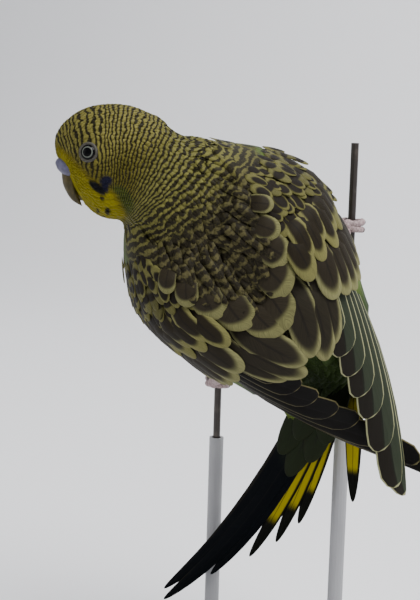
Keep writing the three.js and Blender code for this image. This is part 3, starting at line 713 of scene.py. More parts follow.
# %% [markdown]
# ## Laying the coat
# From its root a feather follows the skin, turned the way its neighbours lie and lifted a little at its
# tip, so that it covers the roots behind it like a roof tile. A search tree of the skin's faces finds the
# surface under each step.

# %% Follow the skin
surface = BVHTree.FromPolygons([tuple(c) for c in skin_bird], [tuple(int(i) for i in f) for f in tri_verts])


def lie(p):
    """Direction of the feathers at places in the bird's axes."""
    _, way = distance_back(p)
    h = bird_to_head(p)
    away = unit(p - BILL_ROOT)
    near = 1 - smooth(np.linalg.norm(p - BILL_ROOT, axis=1), 6, 15)
    way = unit(way + away * near[:, None] * 1.2)
    tail_near = smooth(p[:, 0], 48, 58)
    way = unit(lerp(way, np.broadcast_to(tail_along, way.shape), tail_near[:, None]))
    for leg in LEGS.values():
        hip, knee = np.array(leg["hip"]), np.array(leg["knee"])
        down = unit(knee - hip)
        part = np.clip((p - hip) @ down, 0, np.linalg.norm(knee - hip))
        apart = np.linalg.norm(p - hip - part[:, None] * down, axis=1)
        on_thigh = (1 - smooth(apart, 5.5, 7.5)) * smooth((p - hip) @ down, 4, 8)
        way = unit(lerp(way, np.broadcast_to(down, way.shape), on_thigh[:, None]))
    return way


def follow(roots, lengths, rings, twist):
    """Centre line, surface direction and way of each feather at its rings."""
    centre = np.empty((len(roots), len(rings), 3))
    out = np.empty_like(centre)
    ways = np.empty_like(centre)
    point = roots.copy()
    normal = np.array([surface.find_nearest(Vector(q))[1] for q in point])
    way = lie(point)
    way = unit(way - normal * (way * normal).sum(1, keepdims=True))
    way = unit(way + np.cross(normal, way) * twist[:, None])
    last = 0.0
    for k, t in enumerate(rings):
        target = point + way * (lengths * (t - last))[:, None]
        for i, q in enumerate(target):
            spot, n, _, _ = surface.find_nearest(Vector(q))
            point[i] = spot
            normal[i] = n
        way = unit(way - normal * (way * normal).sum(1, keepdims=True))
        centre[:, k], out[:, k], ways[:, k] = point, normal, way
        last = t
    return centre, out, ways


def coat_place(centre, out, ways, lengths, lift, sink):
    across = np.cross(out, ways)

    def place(ring, t, off, rise):
        height = lerp(-sink, (lift * lengths)[:, None], t)
        lifted = out[:, ring] * (rise + height)[:, :, None]
        return centre[:, ring] + across[:, ring] * off[:, :, None] + lifted

    return place


print("coat ready to be laid")

# %% Lay the coat
EYE_AT = np.array([4.5, 9.9, 0.8])
BARE_ROUND_EYE = 2.6
TWIST, LIFT, SINK = 0.1, 0.1, 0.12
WIDTH_SHARE, THICK_SHARE = 0.25, 0.05
COVERT = {"root": 0.7, "round_from": 0.5}
MOST_FACES = 190000
TRIANGLES_EACH = 64
root = places_bird[kept]
root_uv = places_uv[kept]
long = reach[kept] * rng.uniform(0.85, 1.15, len(kept))
head_place = bird_to_head(root)
eye_gap = np.linalg.norm(head_place[:, [0, 2]] - EYE_AT[[0, 2]], axis=1)
bare = (eye_gap < BARE_ROUND_EYE) & (np.abs(head_place[:, 1]) > 6)
in_bill = (head_place[:, 0] > 9.6) & (np.abs(head_place[:, 1]) < 3)
in_bill &= (head_place[:, 2] < 1.6) & (head_place[:, 2] > -8.5)
keep = ~(bare | in_bill)
root, root_uv, long = root[keep], root_uv[keep], long[keep]
order = np.argsort(distance_back(root)[0])
root, root_uv, long = root[order], root_uv[order], long[order]
tone = rng.uniform(0.86, 1.12, len(root))
back = distance_back(root)[0]
bend = BAR_BEND * smooth(back, 12, 30)
jitter = rng.normal(0, 0.07, len(root)) + rng.normal(0, 0.06, len(root)) * smooth(back, 18, 30)
coat_pieces = []
parts = math.ceil(len(root) * TRIANGLES_EACH / MOST_FACES)
for k, chosen in enumerate(np.array_split(np.arange(len(root)), parts)):
    twist = rng.normal(0, TWIST, len(chosen))
    centre, out, ways = follow(root[chosen], long[chosen], COVERT_RINGS, twist)

    def mark(mesh, flat, which, s, chosen=chosen):
        put_markings(mesh, flat, jitter[chosen][which] + bend[chosen][which] * s**2, tone[chosen][which])

    size = long[chosen]
    place = coat_place(centre, out, ways, size, LIFT, SINK)
    piece = feathers(f"coat_{k}", len(chosen), place, size * WIDTH_SHARE, size * THICK_SHARE, 6,
                     COVERT_RINGS, COVERT, CAMBER, mark, root_uv[chosen])
    piece.data.materials.append(coat_finish)
    coat_pieces.append(piece)
print("coat feathers:", len(root), "in", len(coat_pieces), "pieces")

# %% [markdown]
# ## The folded wing as a chart
# A folded wing is a long curved shield. Two edges, the leading one and the inner one, and an arc between
# them give a chart: how far back from the wrist, how far across from the leading edge, and how high. Each
# tier of feathers is then a short list of sizes on that chart, as on the real wing.

# %% Wing chart
LEADING_EDGE = np.array([(-3, 18, -4), (8, 23.6, -3), (21, 25.6, -0.9), (45, 21.2, 2.2), (70, 12.4, 5.4),
                         (94, -1.2, 8.2)])
INNER_EDGE = np.array([(-3, 14.5, 10.5), (8, 12, 14.6), (21, 8.6, 17), (45, 1.6, 16.4), (58, 2.4, 14),
                       (70, 0.4, 11.8), (94, -6.4, 9.6)])
WING_BULGE = np.array([0, 5.4, 8.4])
FULL_CHORD = 26


def edge_at(points, x):
    i = 1 + (x[:, None] > points[1:-2, 0][None, :]).sum(1)
    before, a = points[np.maximum(i - 2, 0)], points[i - 1]
    b, after = points[i], points[np.minimum(i + 1, len(points) - 1)]
    span = b[:, :1] - a[:, :1]
    t = (x[:, None] - a[:, :1]) / span
    first = (b - before) / (b[:, :1] - before[:, :1]) * span
    second = (after - a) / (after[:, :1] - a[:, :1]) * span
    cubic, square = 2 * a - 2 * b + first + second, 3 * (b - a) - 2 * first - second
    value = ((cubic * t + square) * t + first) * t + a
    value[:, 0] = x
    return value


def wing_point(x, across, height, side):
    shape = np.broadcast_shapes(np.shape(x), np.shape(across), np.shape(height))
    x, across, height = (np.broadcast_to(v, shape).ravel() for v in (x, across, height))
    lead, inner = edge_at(LEADING_EDGE, x), edge_at(INNER_EDGE, x)
    span = lambda v: np.linalg.norm(v, axis=1, keepdims=True)
    chord = span(lead - inner)
    middle = (lead + inner) / 2 + WING_BULGE * (chord / FULL_CHORD) ** 1.5
    length = (span(lead - middle) + span(middle - inner) + chord) / 2
    part = np.clip(across[:, None] / length, 0, 1)
    point = (1 - part) ** 2 * lead + 2 * part * (1 - part) * middle + part**2 * inner
    tangent = unit(2 * (1 - part) * (middle - lead) + 2 * part * (inner - middle))
    point = point + tangent * (across[:, None] - part * length)
    point = point + unit(np.stack([0 * x, tangent[:, 2], -tangent[:, 1]], 1)) * height[:, None]
    point[:, 2] += smooth(x, 42, 74) * (3.0 if side > 0 else -0.8)
    point[:, 1] *= side
    return point.reshape(*shape, 3)


print("wing tip, bird axes, mm:", np.round(wing_point(np.array([94.0]), 2.0, 0.0, 1), 1))

# %% [markdown]
# ## Finishes of the wing feathers
# Each kind of wing feather has its own pattern, and all of them are told on the feather itself: how far
# along it and how far from its shaft. The coverts are dark with a broad yellow edge, and the flight
# feathers are grey-green outside, brown inside, with a thin pale rim. Those of the left wing are darker, as
# they are in the photograph: painted shade, as that wing lies in shadow. The barbs make the edge of each
# mark ragged.

# %% Feather finishes
def vane_coordinates(base):
    uv = base.node("ShaderNodeUVMap", {"uv_map": "vane"})
    split = base.node("ShaderNodeSeparateXYZ", None, Vector=Num(base.tree, uv.outputs[0]))
    along = Num(base.tree, split.outputs[0])
    across = (Num(base.tree, split.outputs[1]) - 0.5) * 2.0
    return along, across


BARB_SLANT = 0.35
RAGGED = 0.12


def barbs(base, along, across, fine=160.0):
    """Fine stripes that leave the shaft at a slant, as barbs do."""
    seed = attribute(base, "seed")
    line = (along - abs(across) * BARB_SLANT) * fine + seed * 37.0
    vector = base.node("ShaderNodeCombineXYZ", None, X=line, Y=across * 1.5, Z=seed * 11.0)
    return noise(base, 1.0, 2.0, Num(base.tree, vector.outputs[0]))


def covert_material(name, side_rim, tip_rim, dark, rim, start=0.0, vary=0.0):
    """A dark spot, rounded at both ends, on a pale feather."""
    material, base, shader = shaded(name, roughness=0.6, Specular_IOR_Level=0.08)
    along, across = vane_coordinates(base)
    barb = barbs(base, along, across)
    chance = (attribute(base, "seed") - 0.5) * vary
    shift = (barb - 0.5) * RAGGED + chance
    waist = 0.45 + start * 0.4
    behind = (along + shift * 0.6 - waist).larger(0.0) / (1.0 - tip_rim - waist)
    ahead = (waist - along).larger(0.0) / (waist - start * 0.92 + 0.02)
    wide = abs(across) / (1.0 - side_rim) - shift
    reach = wide.larger(0.0).power(2.4) + behind.power(2.4)
    if start:
        reach = reach + ahead.power(2.0)
    spot = 1.0 - reach.step(0.6, 1.35)
    faded = barb.step(0.35, 0.7) * 0.6 + chance.larger(0.0)
    worn = mix(base, faded, colour(rim), colour(tuple(v * 0.4 for v in rim)))
    deep = mix(base, barb.step(0.3, 0.7), colour(dark), colour(tuple(min(v * 1.35, 255) for v in dark)))
    shaft = (1.0 - abs(across)).step(0.9, 0.97) * (1.0 - along).step(0.1, 0.3)
    deep = mix(base, shaft * 0.6, deep, colour((20, 17, 15)))
    paint(base, shader, mix(base, spot, worn, deep), barb, 0.25)
    return material


def flight_material(name, outer, inner, rim, rim_width, outer_side):
    material, base, shader = shaded(name, roughness=0.55, Specular_IOR_Level=0.08)
    along, across = vane_coordinates(base)
    barb = barbs(base, along, across, fine=260.0)
    web = mix(base, (across * outer_side).step(-0.05, 0.05), colour(inner), colour(outer))
    web = mix(base, barb.step(0.3, 0.7, 0.0, 0.35), web, colour(tuple(v * 0.5 for v in inner)))
    shift = (barb - 0.5) * 0.04
    edge = 1.0 - (1.0 - abs(across) + shift).step(rim_width * 0.6, rim_width)
    tip = 1.0 - (1.0 - along).step(0.005, 0.01)
    shaft = (1.0 - abs(across + 0.03)).step(0.93, 0.98)
    web = mix(base, shaft * 0.8, web, colour((18, 16, 15)))
    paint(base, shader, mix(base, edge.larger(tip) * 0.9, web, colour(rim)), barb, 0.25)
    return material


RIM = (122, 120, 80)
lesser_finish = covert_material("plumage_lesser", 0.12, 0.22, (20, 16, 10), (100, 97, 54), 0.3, 0.7)
median_finish = covert_material("plumage_median", 0.22, 0.16, (26, 22, 14), (114, 111, 66), 0.22, 0.3)
greater_finish = covert_material("plumage_greater", 0.18, 0.1, (30, 26, 19), RIM)
scapular_finish = covert_material("plumage_scapular", 0.05, 0.2, (32, 28, 20), (112, 110, 70), vary=0.2)
tertial_finish = covert_material("plumage_tertial", 0.14, 0.05, (29, 26, 19), RIM)
flight_finish = {
    1: flight_material("plumage_flight", (46, 52, 40), (28, 25, 20), (150, 150, 112), 0.12, -1),
    # The left wing's flight feathers are darker copies of the right ones: painted shade for the wing in
    # shadow.
    -1: flight_material("plumage_flight_left_painted_shade", (11, 10, 8), (9, 7, 5), (96, 90, 60), 0.1, 1),
}
print("wing finishes made")

# %% [markdown]
# ## Wing tiers
# The tiers are laid from below upwards: primaries, secondaries, tertials, then greater, median and lesser
# coverts, and the scapulars that bridge wing and back. Each later feather lies over the edge of the one
# before it. A little seeded chance in length and turn keeps the rows from looking stamped.

# %% Tiers
SIDE_NAME = {1: "right", -1: "left"}
VANE_THICK = 0.5


def hash_name(name):
    """A seed of its own for each tier, the same in every run."""
    return sum(ord(letter) * (k + 3) for k, letter in enumerate(name))


def tier(name, side, specs, height, step, material, shape, sunk=1.2, camber=CAMBER, chance=0.4):
    """Feathers given by root and tip on the chart and by width. Each lies a step above the one before."""
    local = np.random.default_rng(hash_name(name) + (1 if side > 0 else 2))
    specs = np.array(specs, float)
    start = specs[:, 0:2] + local.normal(0, 0.2, (len(specs), 2))
    end = specs[:, 2:4] + local.normal(0, 0.35, (len(specs), 2)) * chance
    way = unit(end - start)
    level = height + step * np.arange(len(specs))

    def place(ring, t, off, rise):
        x = lerp(start[:, :1], end[:, :1], t) - way[:, 1:] * off
        across = lerp(start[:, 1:], end[:, 1:], t) + way[:, :1] * off
        lift = lerp(np.minimum(level, 0)[:, None] - sunk, level[:, None], smooth(t, 0, 0.5))
        return wing_point(x, across, lift + rise, side)

    piece = feathers(f"{name}_{SIDE_NAME[side]}", len(specs), place, specs[:, 4] / 2, VANE_THICK, 16,
                     LONG_RINGS, shape, camber, seeds=local.random(len(specs)))
    piece.data.materials.append(material)
    return piece


FLIGHT = {"root": 0.5, "full": 0.3, "round_from": 0.91, "power": 2.0}
BROAD = {"root": 0.55, "full": 0.35, "round_from": 0.66, "power": 2.0}
SMALL = {"root": 0.55, "full": 0.3, "round_from": 0.35, "power": 2.0}
SMALL_RINGS = (0, 0.14, 0.35, 0.55, 0.73, 0.87, 0.96, 1)
PRIMARIES = [(26, 4.4, 89.5, 7.6, 9.2), (26, 5.8, 87, 9.4, 9.2), (26, 7.5, 78, 10.6, 9.8)]
SECONDARIES = [(24, 9, 69.5, 12.6, 9.4), (24, 11, 63.5, 14.6, 9), (24, 13, 57.5, 16.6, 8.6),
               (24, 15.4, 52, 18.4, 8.2), (24, 17.8, 47, 20, 7.6)]
TERTIALS = [(26, 18.5, 48, 20.4, 7.2), (27, 22.5, 50, 23.4, 7.6), (26, 27, 47, 26.4, 8.2)]
GREATER = [(20, 1.6, 37, 1.6, 5.2), (20, 4, 39.5, 4, 5.6), (21, 6.8, 41.5, 6.8, 5.8),
           (22, 9.8, 42, 9.8, 6.2), (22, 13, 41.5, 13, 6.8), (22, 17, 39.5, 17, 7.8)]
MEDIAN = [(9, 0.6, 24, 0.6, 4.6), (11, 3, 27, 3, 4.8), (12, 5.6, 30, 5.2, 5.2), (14, 8.4, 28.5, 8.2, 5.2),
          (14, 11, 31, 11, 5.4), (14, 13.8, 27.5, 13.8, 5.4), (14, 16.6, 30.5, 16.6, 5.6),
          (14, 19.8, 28, 19.6, 5.4), (16, 22.6, 32, 21.6, 6)]
SCAPULARS = [(24, 33, 37.5, 29.8, 8.4), (19, 31.5, 31, 27.6, 8.4), (14.5, 29.5, 25, 25.2, 7.2),
             (11.5, 27.5, 18.5, 23.2, 5.6), (8, 24.5, 13, 21, 4.6)]
wing_pieces = {1: [], -1: []}
for side in (1, -1):
    made = wing_pieces[side]
    flight = flight_finish[side]
    made.append(tier("primaries", side, PRIMARIES, -2.1, 0.45, flight, FLIGHT, camber=0.02))
    made.append(tier("secondaries", side, SECONDARIES, -0.75, 0.45, flight, FLIGHT, camber=0.02))
    made.append(tier("tertials", side, TERTIALS, 1.8, 0.3, tertial_finish, BROAD))
    made.append(tier("greater_coverts", side, GREATER, 1.5, 0.25, greater_finish, BROAD))
    made.append(tier("median_coverts", side, MEDIAN, 2.0, 0.16, median_finish, BROAD))
    made.append(tier("scapulars", side, SCAPULARS, 2.5, 0.06, scapular_finish, BROAD, sunk=2.2, chance=0.8))
print("wing feathers:", sum(len(p.data.polygons) for s in (1, -1) for p in wing_pieces[s]), "faces")

# %% [markdown]
# ## Small feathers of the wing
# The front of the wing is covered by lesser coverts, too many to list. They're strewn in offset rows on the
# chart, with chance in place, length and turn. Barred feathers of the back lie over the wing's inner edge,
# so that the back flows into the wing, and a thin arm fills the room underneath.

# %% Strewn feathers
def strewn(name, side, starts, length, turn, heights, width, thick, sides, camber, mark=None, seeds=None):
    """Short feathers on the wing chart, each with a root, a length and a turn."""

    def place(ring, t, off, rise):
        go = length[:, None] * t
        x = starts[:, :1] + go * np.cos(turn)[:, None] - off * np.sin(turn)[:, None]
        across = starts[:, 1:2] + go * np.sin(turn)[:, None] + off * np.cos(turn)[:, None]
        return wing_point(x, across, starts[:, 2:] + lerp(*heights, t) + rise, side)

    return feathers(f"{name}_{SIDE_NAME[side]}", len(starts), place, length * width,
                    thick * np.ones(len(starts)), sides, SMALL_RINGS, SMALL, camber, mark, seeds=seeds)


def chord_at(x):
    return np.linalg.norm(edge_at(LEADING_EDGE, x) - edge_at(INNER_EDGE, x), axis=1)


print("wing width at its widest, mm:", round(float(chord_at(np.arange(0.0, 90.0)).max()), 1))

# %% Lesser coverts, edge of the mantle and arm
def lesser_coverts(side):
    local = np.random.default_rng(41 if side > 0 else 43)
    starts = []
    for row, x in enumerate(np.arange(-5.5, 22, 2.5)):
        chord = float(chord_at(np.array([x]))[0]) * 1.1
        for across in np.arange(-1.2 + 1.35 * (row % 2), chord - 1.0, 2.7):
            starts.append((x, across, lerp(-2.6, 1.9, float(smooth(np.array(x), -8, 10)))))
    starts = np.array(starts) + local.normal(0, 0.4, (len(starts), 3)) * (1, 1, 0.3)
    length = lerp(4.4, 6.6, smooth(starts[:, 0], -4, 20)) * local.uniform(0.85, 1.25, len(starts))
    turn = local.normal(0, 0.17, len(starts))
    piece = strewn("lesser_coverts", side, starts, length, turn, (-1.1, 0.35), 0.33, 0.3, 10, CAMBER,
                   seeds=local.random(len(starts)))
    piece.data.materials.append(lesser_finish)
    return piece


def mantle_edge(side):
    """Barred feathers of the back that lie over the inner edge of the wing and the scapulars' roots."""
    local = np.random.default_rng(47 if side > 0 else 53)
    starts = []
    for count, x in enumerate(np.arange(-6, 23, 1.5)):
        outer = float(np.interp(x, [-6, 4, 10, 20, 30], [12, 22, 26.5, 31.5, 34.5]))
        for across in np.arange(outer + 0.9 * (count % 2), outer + 9, 1.8):
            starts.append((x, across, float(np.interp(x, [-6, 4, 12, 30], [-2.2, 0.8, 3.0, 3.2]))))
    starts = np.array(starts)
    starts[:, 2] -= 0.35 * np.maximum(starts[:, 1] - np.interp(starts[:, 0], [-6, 12, 30], [17, 28, 32]), 0)
    starts += local.normal(0, 0.55, (len(starts), 3)) * (1, 1, 0.1)
    length = local.uniform(6, 8, len(starts))
    turn = local.normal(-0.2, 0.13, len(starts))
    shade, shift = local.uniform(0.86, 1.12, len(starts)), local.normal(0, 0.1, len(starts))

    def mark(mesh, flat, which, s):
        put_markings(mesh, flat, shift[which] + BAR_BEND * s**2, shade[which])

    piece = strewn("mantle_edge", side, starts, length, turn, (-1.7, 0.25), 0.2, 0.2, 6, 0.05, mark)
    piece.data.materials.append(coat_finish)
    return piece


def wing_arm(side):
    """The fleshy arm: a thin grid on the chart, given thickness inwards."""
    bm = bmesh.new()
    grid = bmesh.ops.create_grid(bm, x_segments=24, y_segments=12, size=0.5)["verts"]
    co = np.array([v.co for v in grid]) + 0.5
    x = lerp(-4.5, 50.0, co[:, 0])
    chord = chord_at(x) * 1.04
    sunk = -0.3 - 2.6 * (1 - smooth(x, -4.5, 4)) - 1.5 * smooth(x, 36, 50)
    for vert, point in zip(grid, to_frame(wing_point(x, co[:, 1] * chord, sunk, side))):
        vert.co = point
    bmesh.ops.solidify(bm, geom=bm.faces[:], thickness=2.6 * MM * side)
    piece = finish_mesh(bm, f"wing_arm_{SIDE_NAME[side]}", coat_finish)
    put_markings(piece.data, from_frame(np.array([v.co for v in piece.data.vertices])))
    return piece


for side in (1, -1):
    wing_pieces[side].append(lesser_coverts(side))
    wing_pieces[side].append(mantle_edge(side))
    wing_pieces[side].append(wing_arm(side))
print("lesser coverts laid")

# %% [markdown]
# ## Tail
# Twelve long feathers, the middle pair by far the longest, fan to the right under their coverts. The middle
# ones are blue-black; the outer ones carry a yellow band. Each is laid on a flat chart that starts at the
# rump: a length, a turn and a sideways shift, with a slight bow.

# %% Tail finishes
def tail_material(name, dark, band, low, high, rim, inner_web=1.0):
    material, base, shader = shaded(name, roughness=0.6, Specular_IOR_Level=0.05)
    along, across = vane_coordinates(base)
    barb = barbs(base, along, across, fine=220.0)
    shift = (barb - 0.5) * 0.06
    deep = mix(base, barb.step(0.3, 0.7, 0.0, 0.5), colour(dark), colour(tuple(v * 0.5 for v in dark)))
    inside = (1.0 - abs(across) + shift).step(0.1, 0.22)
    place = along + shift
    yellow = place.step(low - 0.03, low + 0.03) * (1.0 - place.step(high - 0.03, high + 0.03))
    web = (across * inner_web + shift).step(-0.8, -0.6)
    coloured = mix(base, yellow * inside * web, deep, colour(band))
    edge = 1.0 - (1.0 + across + shift).step(0.06, 0.3)
    shaft = (1.0 - abs(across)).step(0.93, 0.98)
    coloured = mix(base, shaft * 0.7, coloured, colour((14, 13, 13)))
    paint(base, shader, mix(base, edge * 0.5, coloured, colour(rim)), barb, 0.25)
    return material


TAIL_BLUE = (2, 5, 9)
middle_finish = tail_material("plumage_tail", TAIL_BLUE, (16, 22, 14), 0.02, 0.35, (34, 30, 20))
TAIL_DARK, TAIL_YELLOW, TAIL_RIM = (10, 11, 6), (140, 128, 14), (18, 18, 8)
outer_finish = tail_material("plumage_tail_outer", TAIL_DARK, TAIL_YELLOW, 0.3, 0.78, TAIL_RIM, -1.0)
far_finish = tail_material("plumage_tail_far", TAIL_DARK, TAIL_YELLOW, 0.3, 0.78, TAIL_RIM)
green_finish = covert_material("plumage_tail_covert", 0.14, 0.04, (20, 26, 12), (28, 34, 16))
vent_finish = covert_material("plumage_vent", 0.16, 0.06, (80, 96, 32), (106, 114, 42))
TAIL_BOW = 6
TAIL_CAMBER = 0.1
TAIL_RIGHT = [(97, 0.2, 0.7, 5.8), (80, 2.2, 1.4, 5.6), (68, 6.6, 2, 5), (60, 11, 2.6, 5),
              (52, 15.5, 3.2, 5), (42, 32, 4.4, 5)]
TAIL_LEFT = [(94, -0.4, -0.7, 5.8), (79, -0.8, -0.8, 5.6), (67, -0.8, -0.9, 5.4), (58, -0.8, -1, 5.4),
             (50, -0.8, -1.1, 5.4), (39, -0.8, -1.2, 5.4)]
TAIL_COVERTS = [(38, 5, 1, 7), (33, -1, -1, 7), (31, 11, 2.6, 7), (26, 2, -0.2, 7), (24, 17, 3.6, 7),
                (20, 8, 1.6, 7)]
UNDER_COVERTS = [(36, 2, 0.4, 7), (32, 7, 1.6, 7), (28, -1, -1, 7)]
TAIL_TAPER = {"root": 0.75, "full": 0.2, "round_from": 0.35, "power": 1.6}


def tail_feathers(name, specs, heights, material, shape):
    specs = np.array(specs, float)
    turn = np.radians(specs[:, 1])[:, None]
    local = np.random.default_rng(hash_name(name))

    def place(ring, t, off, rise):
        far = specs[:, :1] * t
        share = far / TAIL_RIGHT[0][0]
        bow = TAIL_BOW * 4 * share * (1 - share) * np.maximum(1 - np.abs(specs[:, 1:2]) / 20, 0)
        off = off + specs[:, 2:3] + bow
        along = np.cos(turn) * far - np.sin(turn) * off
        across = np.sin(turn) * far + np.cos(turn) * off
        up = np.asarray(heights)[:, None] + rise - 0.3
        return (TAIL_ROOT + along[:, :, None] * tail_along + across[:, :, None] * tail_across
                + up[:, :, None] * tail_up)

    piece = feathers(name, len(specs), place, specs[:, 3] / 2, VANE_THICK, 16, LONG_RINGS, shape,
                     TAIL_CAMBER, seeds=local.random(len(specs)))
    piece.data.materials.append(material)
    return piece


STEP = 0.45
ABOVE, BELOW = 0.6, -3.2
middle = TAIL_RIGHT[:2] + TAIL_LEFT[:2]
middle_heights = [0, -STEP, -0.5 * STEP, -1.5 * STEP]
right_heights = [-STEP * i for i in range(2, 6)]
left_heights = [-STEP * (i + 0.5) for i in range(2, 6)]
covert_heights = [ABOVE + STEP * i for i in range(6)]
under_heights = [BELOW - STEP * i for i in range(3)]
tail_pieces = [
    tail_feathers("tail_middle", middle, middle_heights, middle_finish, TAIL_TAPER),
    tail_feathers("tail_outer_right", TAIL_RIGHT[2:], right_heights, outer_finish, TAIL_TAPER),
    tail_feathers("tail_outer_left", TAIL_LEFT[2:], left_heights, far_finish, TAIL_TAPER),
    tail_feathers("tail_coverts", TAIL_COVERTS, covert_heights, green_finish, BROAD),
    tail_feathers("under_tail_coverts", UNDER_COVERTS, under_heights, vent_finish, BROAD),
]
print("tail pieces:", len(tail_pieces))

# %% [markdown]
# ## Eyes
# A budgerigar's eye is black with a thin pale ring, set in a ring of bare grey skin. The ball is a sphere
# whose pole looks outwards, so that its rings of colour follow from how far a point is from the pole.

# %% Eyes and lids
IRIS_INNER, IRIS_OUTER = (1.0, 1.1), (1.24, 1.36)


def eye_material():
    material, base, shader = shaded("eye", roughness=0.08, Specular_IOR_Level=0.08)
    away = attribute(base, "away")
    iris = away.step(*IRIS_INNER) * (1.0 - away.step(*IRIS_OUTER))
    grain = noise(base, 6000.0).step(0.3, 0.7, 0.6, 1.0)
    pale = mix(base, 1.0 - grain, colour((92, 96, 88)), colour((50, 54, 50)))
    paint(base, shader, mix(base, iris, colour((4, 4, 5)), pale))
    return material


def lid_material():
    material, base, shader = shaded("lid_skin", roughness=0.6)
    grain = noise(base, 3500.0)
    tone = mix(base, grain.step(0.3, 0.7), colour((34, 31, 24)), colour((60, 56, 46)))
    paint(base, shader, tone, grain, 0.5)
    return material


EYE_RADIUS = 2.4
LID_OUT, LID_RADIUS, LID_WIDTH = 1.4, 1.96, 0.4
eye_finish = eye_material()
lid_finish = lid_material()
eye_pieces = {}
for name, side in (("left", 1), ("right", -1)):
    centre = EYE_AT * (1, side, 1) - (0, side * EYE_RADIUS * 0.72, 0)
    bm = bmesh.new()
    ball = bmesh.ops.create_uvsphere(bm, u_segments=32, v_segments=24, radius=1)["verts"]
    co = np.array([v.co for v in ball])
    outward = unit(np.array([0.3, side, 0.04]))
    x_axis = unit(np.cross(outward, [0, 0, 1]))
    turned = co[:, :1] * x_axis + co[:, 1:2] * np.cross(outward, x_axis) + co[:, 2:] * outward
    points = centre + turned * EYE_RADIUS
    for vert, point in zip(ball, to_frame(head_to_bird(points))):
        vert.co = point
    piece = finish_mesh(bm, f"eyeball_{name}", eye_finish)
    facing = np.where(co[:, 2] > 0, 1.0, 9.0)
    put(piece.data, "away", np.linalg.norm(co[:, :2], axis=1) * EYE_RADIUS * facing)
    bm = bmesh.new()
    tube = bmesh.ops.create_grid(bm, x_segments=40, y_segments=10, size=0.5)["verts"]
    co = np.array([v.co for v in tube]) + 0.5
    turn, roll = co[:, 0] * 2 * math.pi, co[:, 1] * 2 * math.pi
    spoke = np.cos(turn)[:, None] * x_axis + np.sin(turn)[:, None] * np.cross(outward, x_axis)
    fat = 0.34 + 0.04 * np.sin(9 * turn)
    points = (centre + outward * LID_OUT + spoke * (LID_RADIUS + LID_WIDTH * np.cos(roll))[:, None]
              + outward * (fat * np.sin(roll))[:, None])
    for vert, point in zip(tube, to_frame(head_to_bird(points))):
        vert.co = point
    bmesh.ops.remove_doubles(bm, verts=bm.verts, dist=1e-6)
    lid = finish_mesh(bm, f"lid_{name}", lid_finish)
    eye_pieces[name] = (piece, lid)
print("eyes set")

# %% [markdown]
# ## Bill and cere
# The hooked upper bill closes over a short lower one, and above it sits the cere, a waxy blue swelling with
# two nostrils that marks a male. The bill is horn: olive, a little mottled.

# %% Bill and cere
UPPER_BILL = [(6.4, 0, -0.8, 0, 0), (7.6, 0, -0.8, 2.9, 2.4), (9.7, 0, -1.3, 3.1, 2.6),
              (10.9, 0, -3.4, 2.7, 2), (11.1, 0, -5.5, 2, 1.5), (10.8, 0, -7.6, 1.1, 1),
              (9.8, 0, -9.9, 0, 0)]
LOWER_BILL = [(5.6, 0, -7.4, 0, 0), (6.6, 0, -7.4, 2, 1.4), (8.6, 0, -7.5, 2, 1.4),
              (9.8, 0, -7.3, 1.3, 0.9), (10.4, 0, -7, 0, 0)]
CERE_AT = np.array([11.2, 1.9, -0.2])
CERE_ALONG = np.array([0.5, -0.38, 0.78])
CERE_SIZE = np.array([1.6, 1.85, 2.95])
CERE_VOXEL, CERE_ROUNDS = 0.00016, 6
NOSTRIL_AT = np.array([12.5, 1.5, 0.7])


def in_head(points):
    return to_frame(head_to_bird(points))


def horn_material():
    material, base, shader = shaded("bill", roughness=0.42, Specular_IOR_Level=0.25)
    grain = noise(base, 900.0, 3.0)
    fine = noise(base, 4000.0)
    tone = mix(base, grain.step(0.3, 0.7), colour((50, 43, 16)), colour((74, 63, 26)))
    paint(base, shader, mix(base, fine.step(0.4, 0.8) * 0.35, tone, colour((44, 40, 28))), fine, 0.15)
    return material


def cere_material():
    material, base, shader = shaded("cere", roughness=0.45)
    grain = noise(base, 1100.0, 3.0)
    pore = noise(base, 5200.0)
    tone = mix(base, grain.step(0.3, 0.75), colour((60, 58, 80)), colour((86, 84, 110)))
    # Painted shade: the nostril pits are darkened.
    tone = mix(base, attribute(base, "nostril_pit_and_shade"), tone, colour((34, 28, 40)))
    paint(base, shader, tone, pore, 0.25)
    return material


horn_finish = horn_material()
cere_finish = cere_material()
bm = bmesh.new()
stretched(bm, UPPER_BILL, 28, 30, up=(1, 0, 1), place=in_head)
bill_upper = finish_mesh(bm, "bill_upper_horn", horn_finish)
bm = bmesh.new()
stretched(bm, LOWER_BILL, 24, 20, place=in_head)
bill_lower = finish_mesh(bm, "bill_lower_horn", horn_finish)

bm = bmesh.new()
for side in (1, -1):
    along = unit(CERE_ALONG * (1, side, 1))
    across = unit(np.cross(along, [1, 0, 0]))
    axes = np.stack([np.cross(across, along), across, along])
    ball = bmesh.ops.create_uvsphere(bm, u_segments=32, v_segments=24, radius=1)["verts"]
    points = CERE_AT * (1, side, 1) + (np.array([v.co for v in ball]) * CERE_SIZE) @ axes
    for vert, point in zip(ball, in_head(points)):
        vert.co = point
cere = melted(finish_mesh(bm, "cere_lobes"), "cere_wax", CERE_VOXEL, CERE_ROUNDS)
points = bird_to_head(from_frame(np.array([v.co for v in cere.data.vertices])))
gap = np.linalg.norm((points * (1, 0, 1) + np.abs(points) * (0, 1, 0)) - NOSTRIL_AT, axis=1)
# The nostril mask both dents the cere and darkens it there as painted shade.
nostril_pit_and_shade = 1 - smooth(gap, 0.25, 0.75)
points[:, 0] += 0.12 * np.exp(-(((gap - 0.95) / 0.3) ** 2)) - 0.5 * nostril_pit_and_shade
for vert, point in zip(cere.data.vertices, in_head(points)):
    vert.co = point
cere.data.materials.append(cere_finish)
put(cere.data, "nostril_pit_and_shade", nostril_pit_and_shade)
print("bill and cere made")

# %% [markdown]
# ## Feet
# A parrot's foot has two toes forward and two back, all wrapped round the wire. Each toe is a tube with
# rounded scales along it and a curved dark claw at its end; the shank above is covered in small plates.

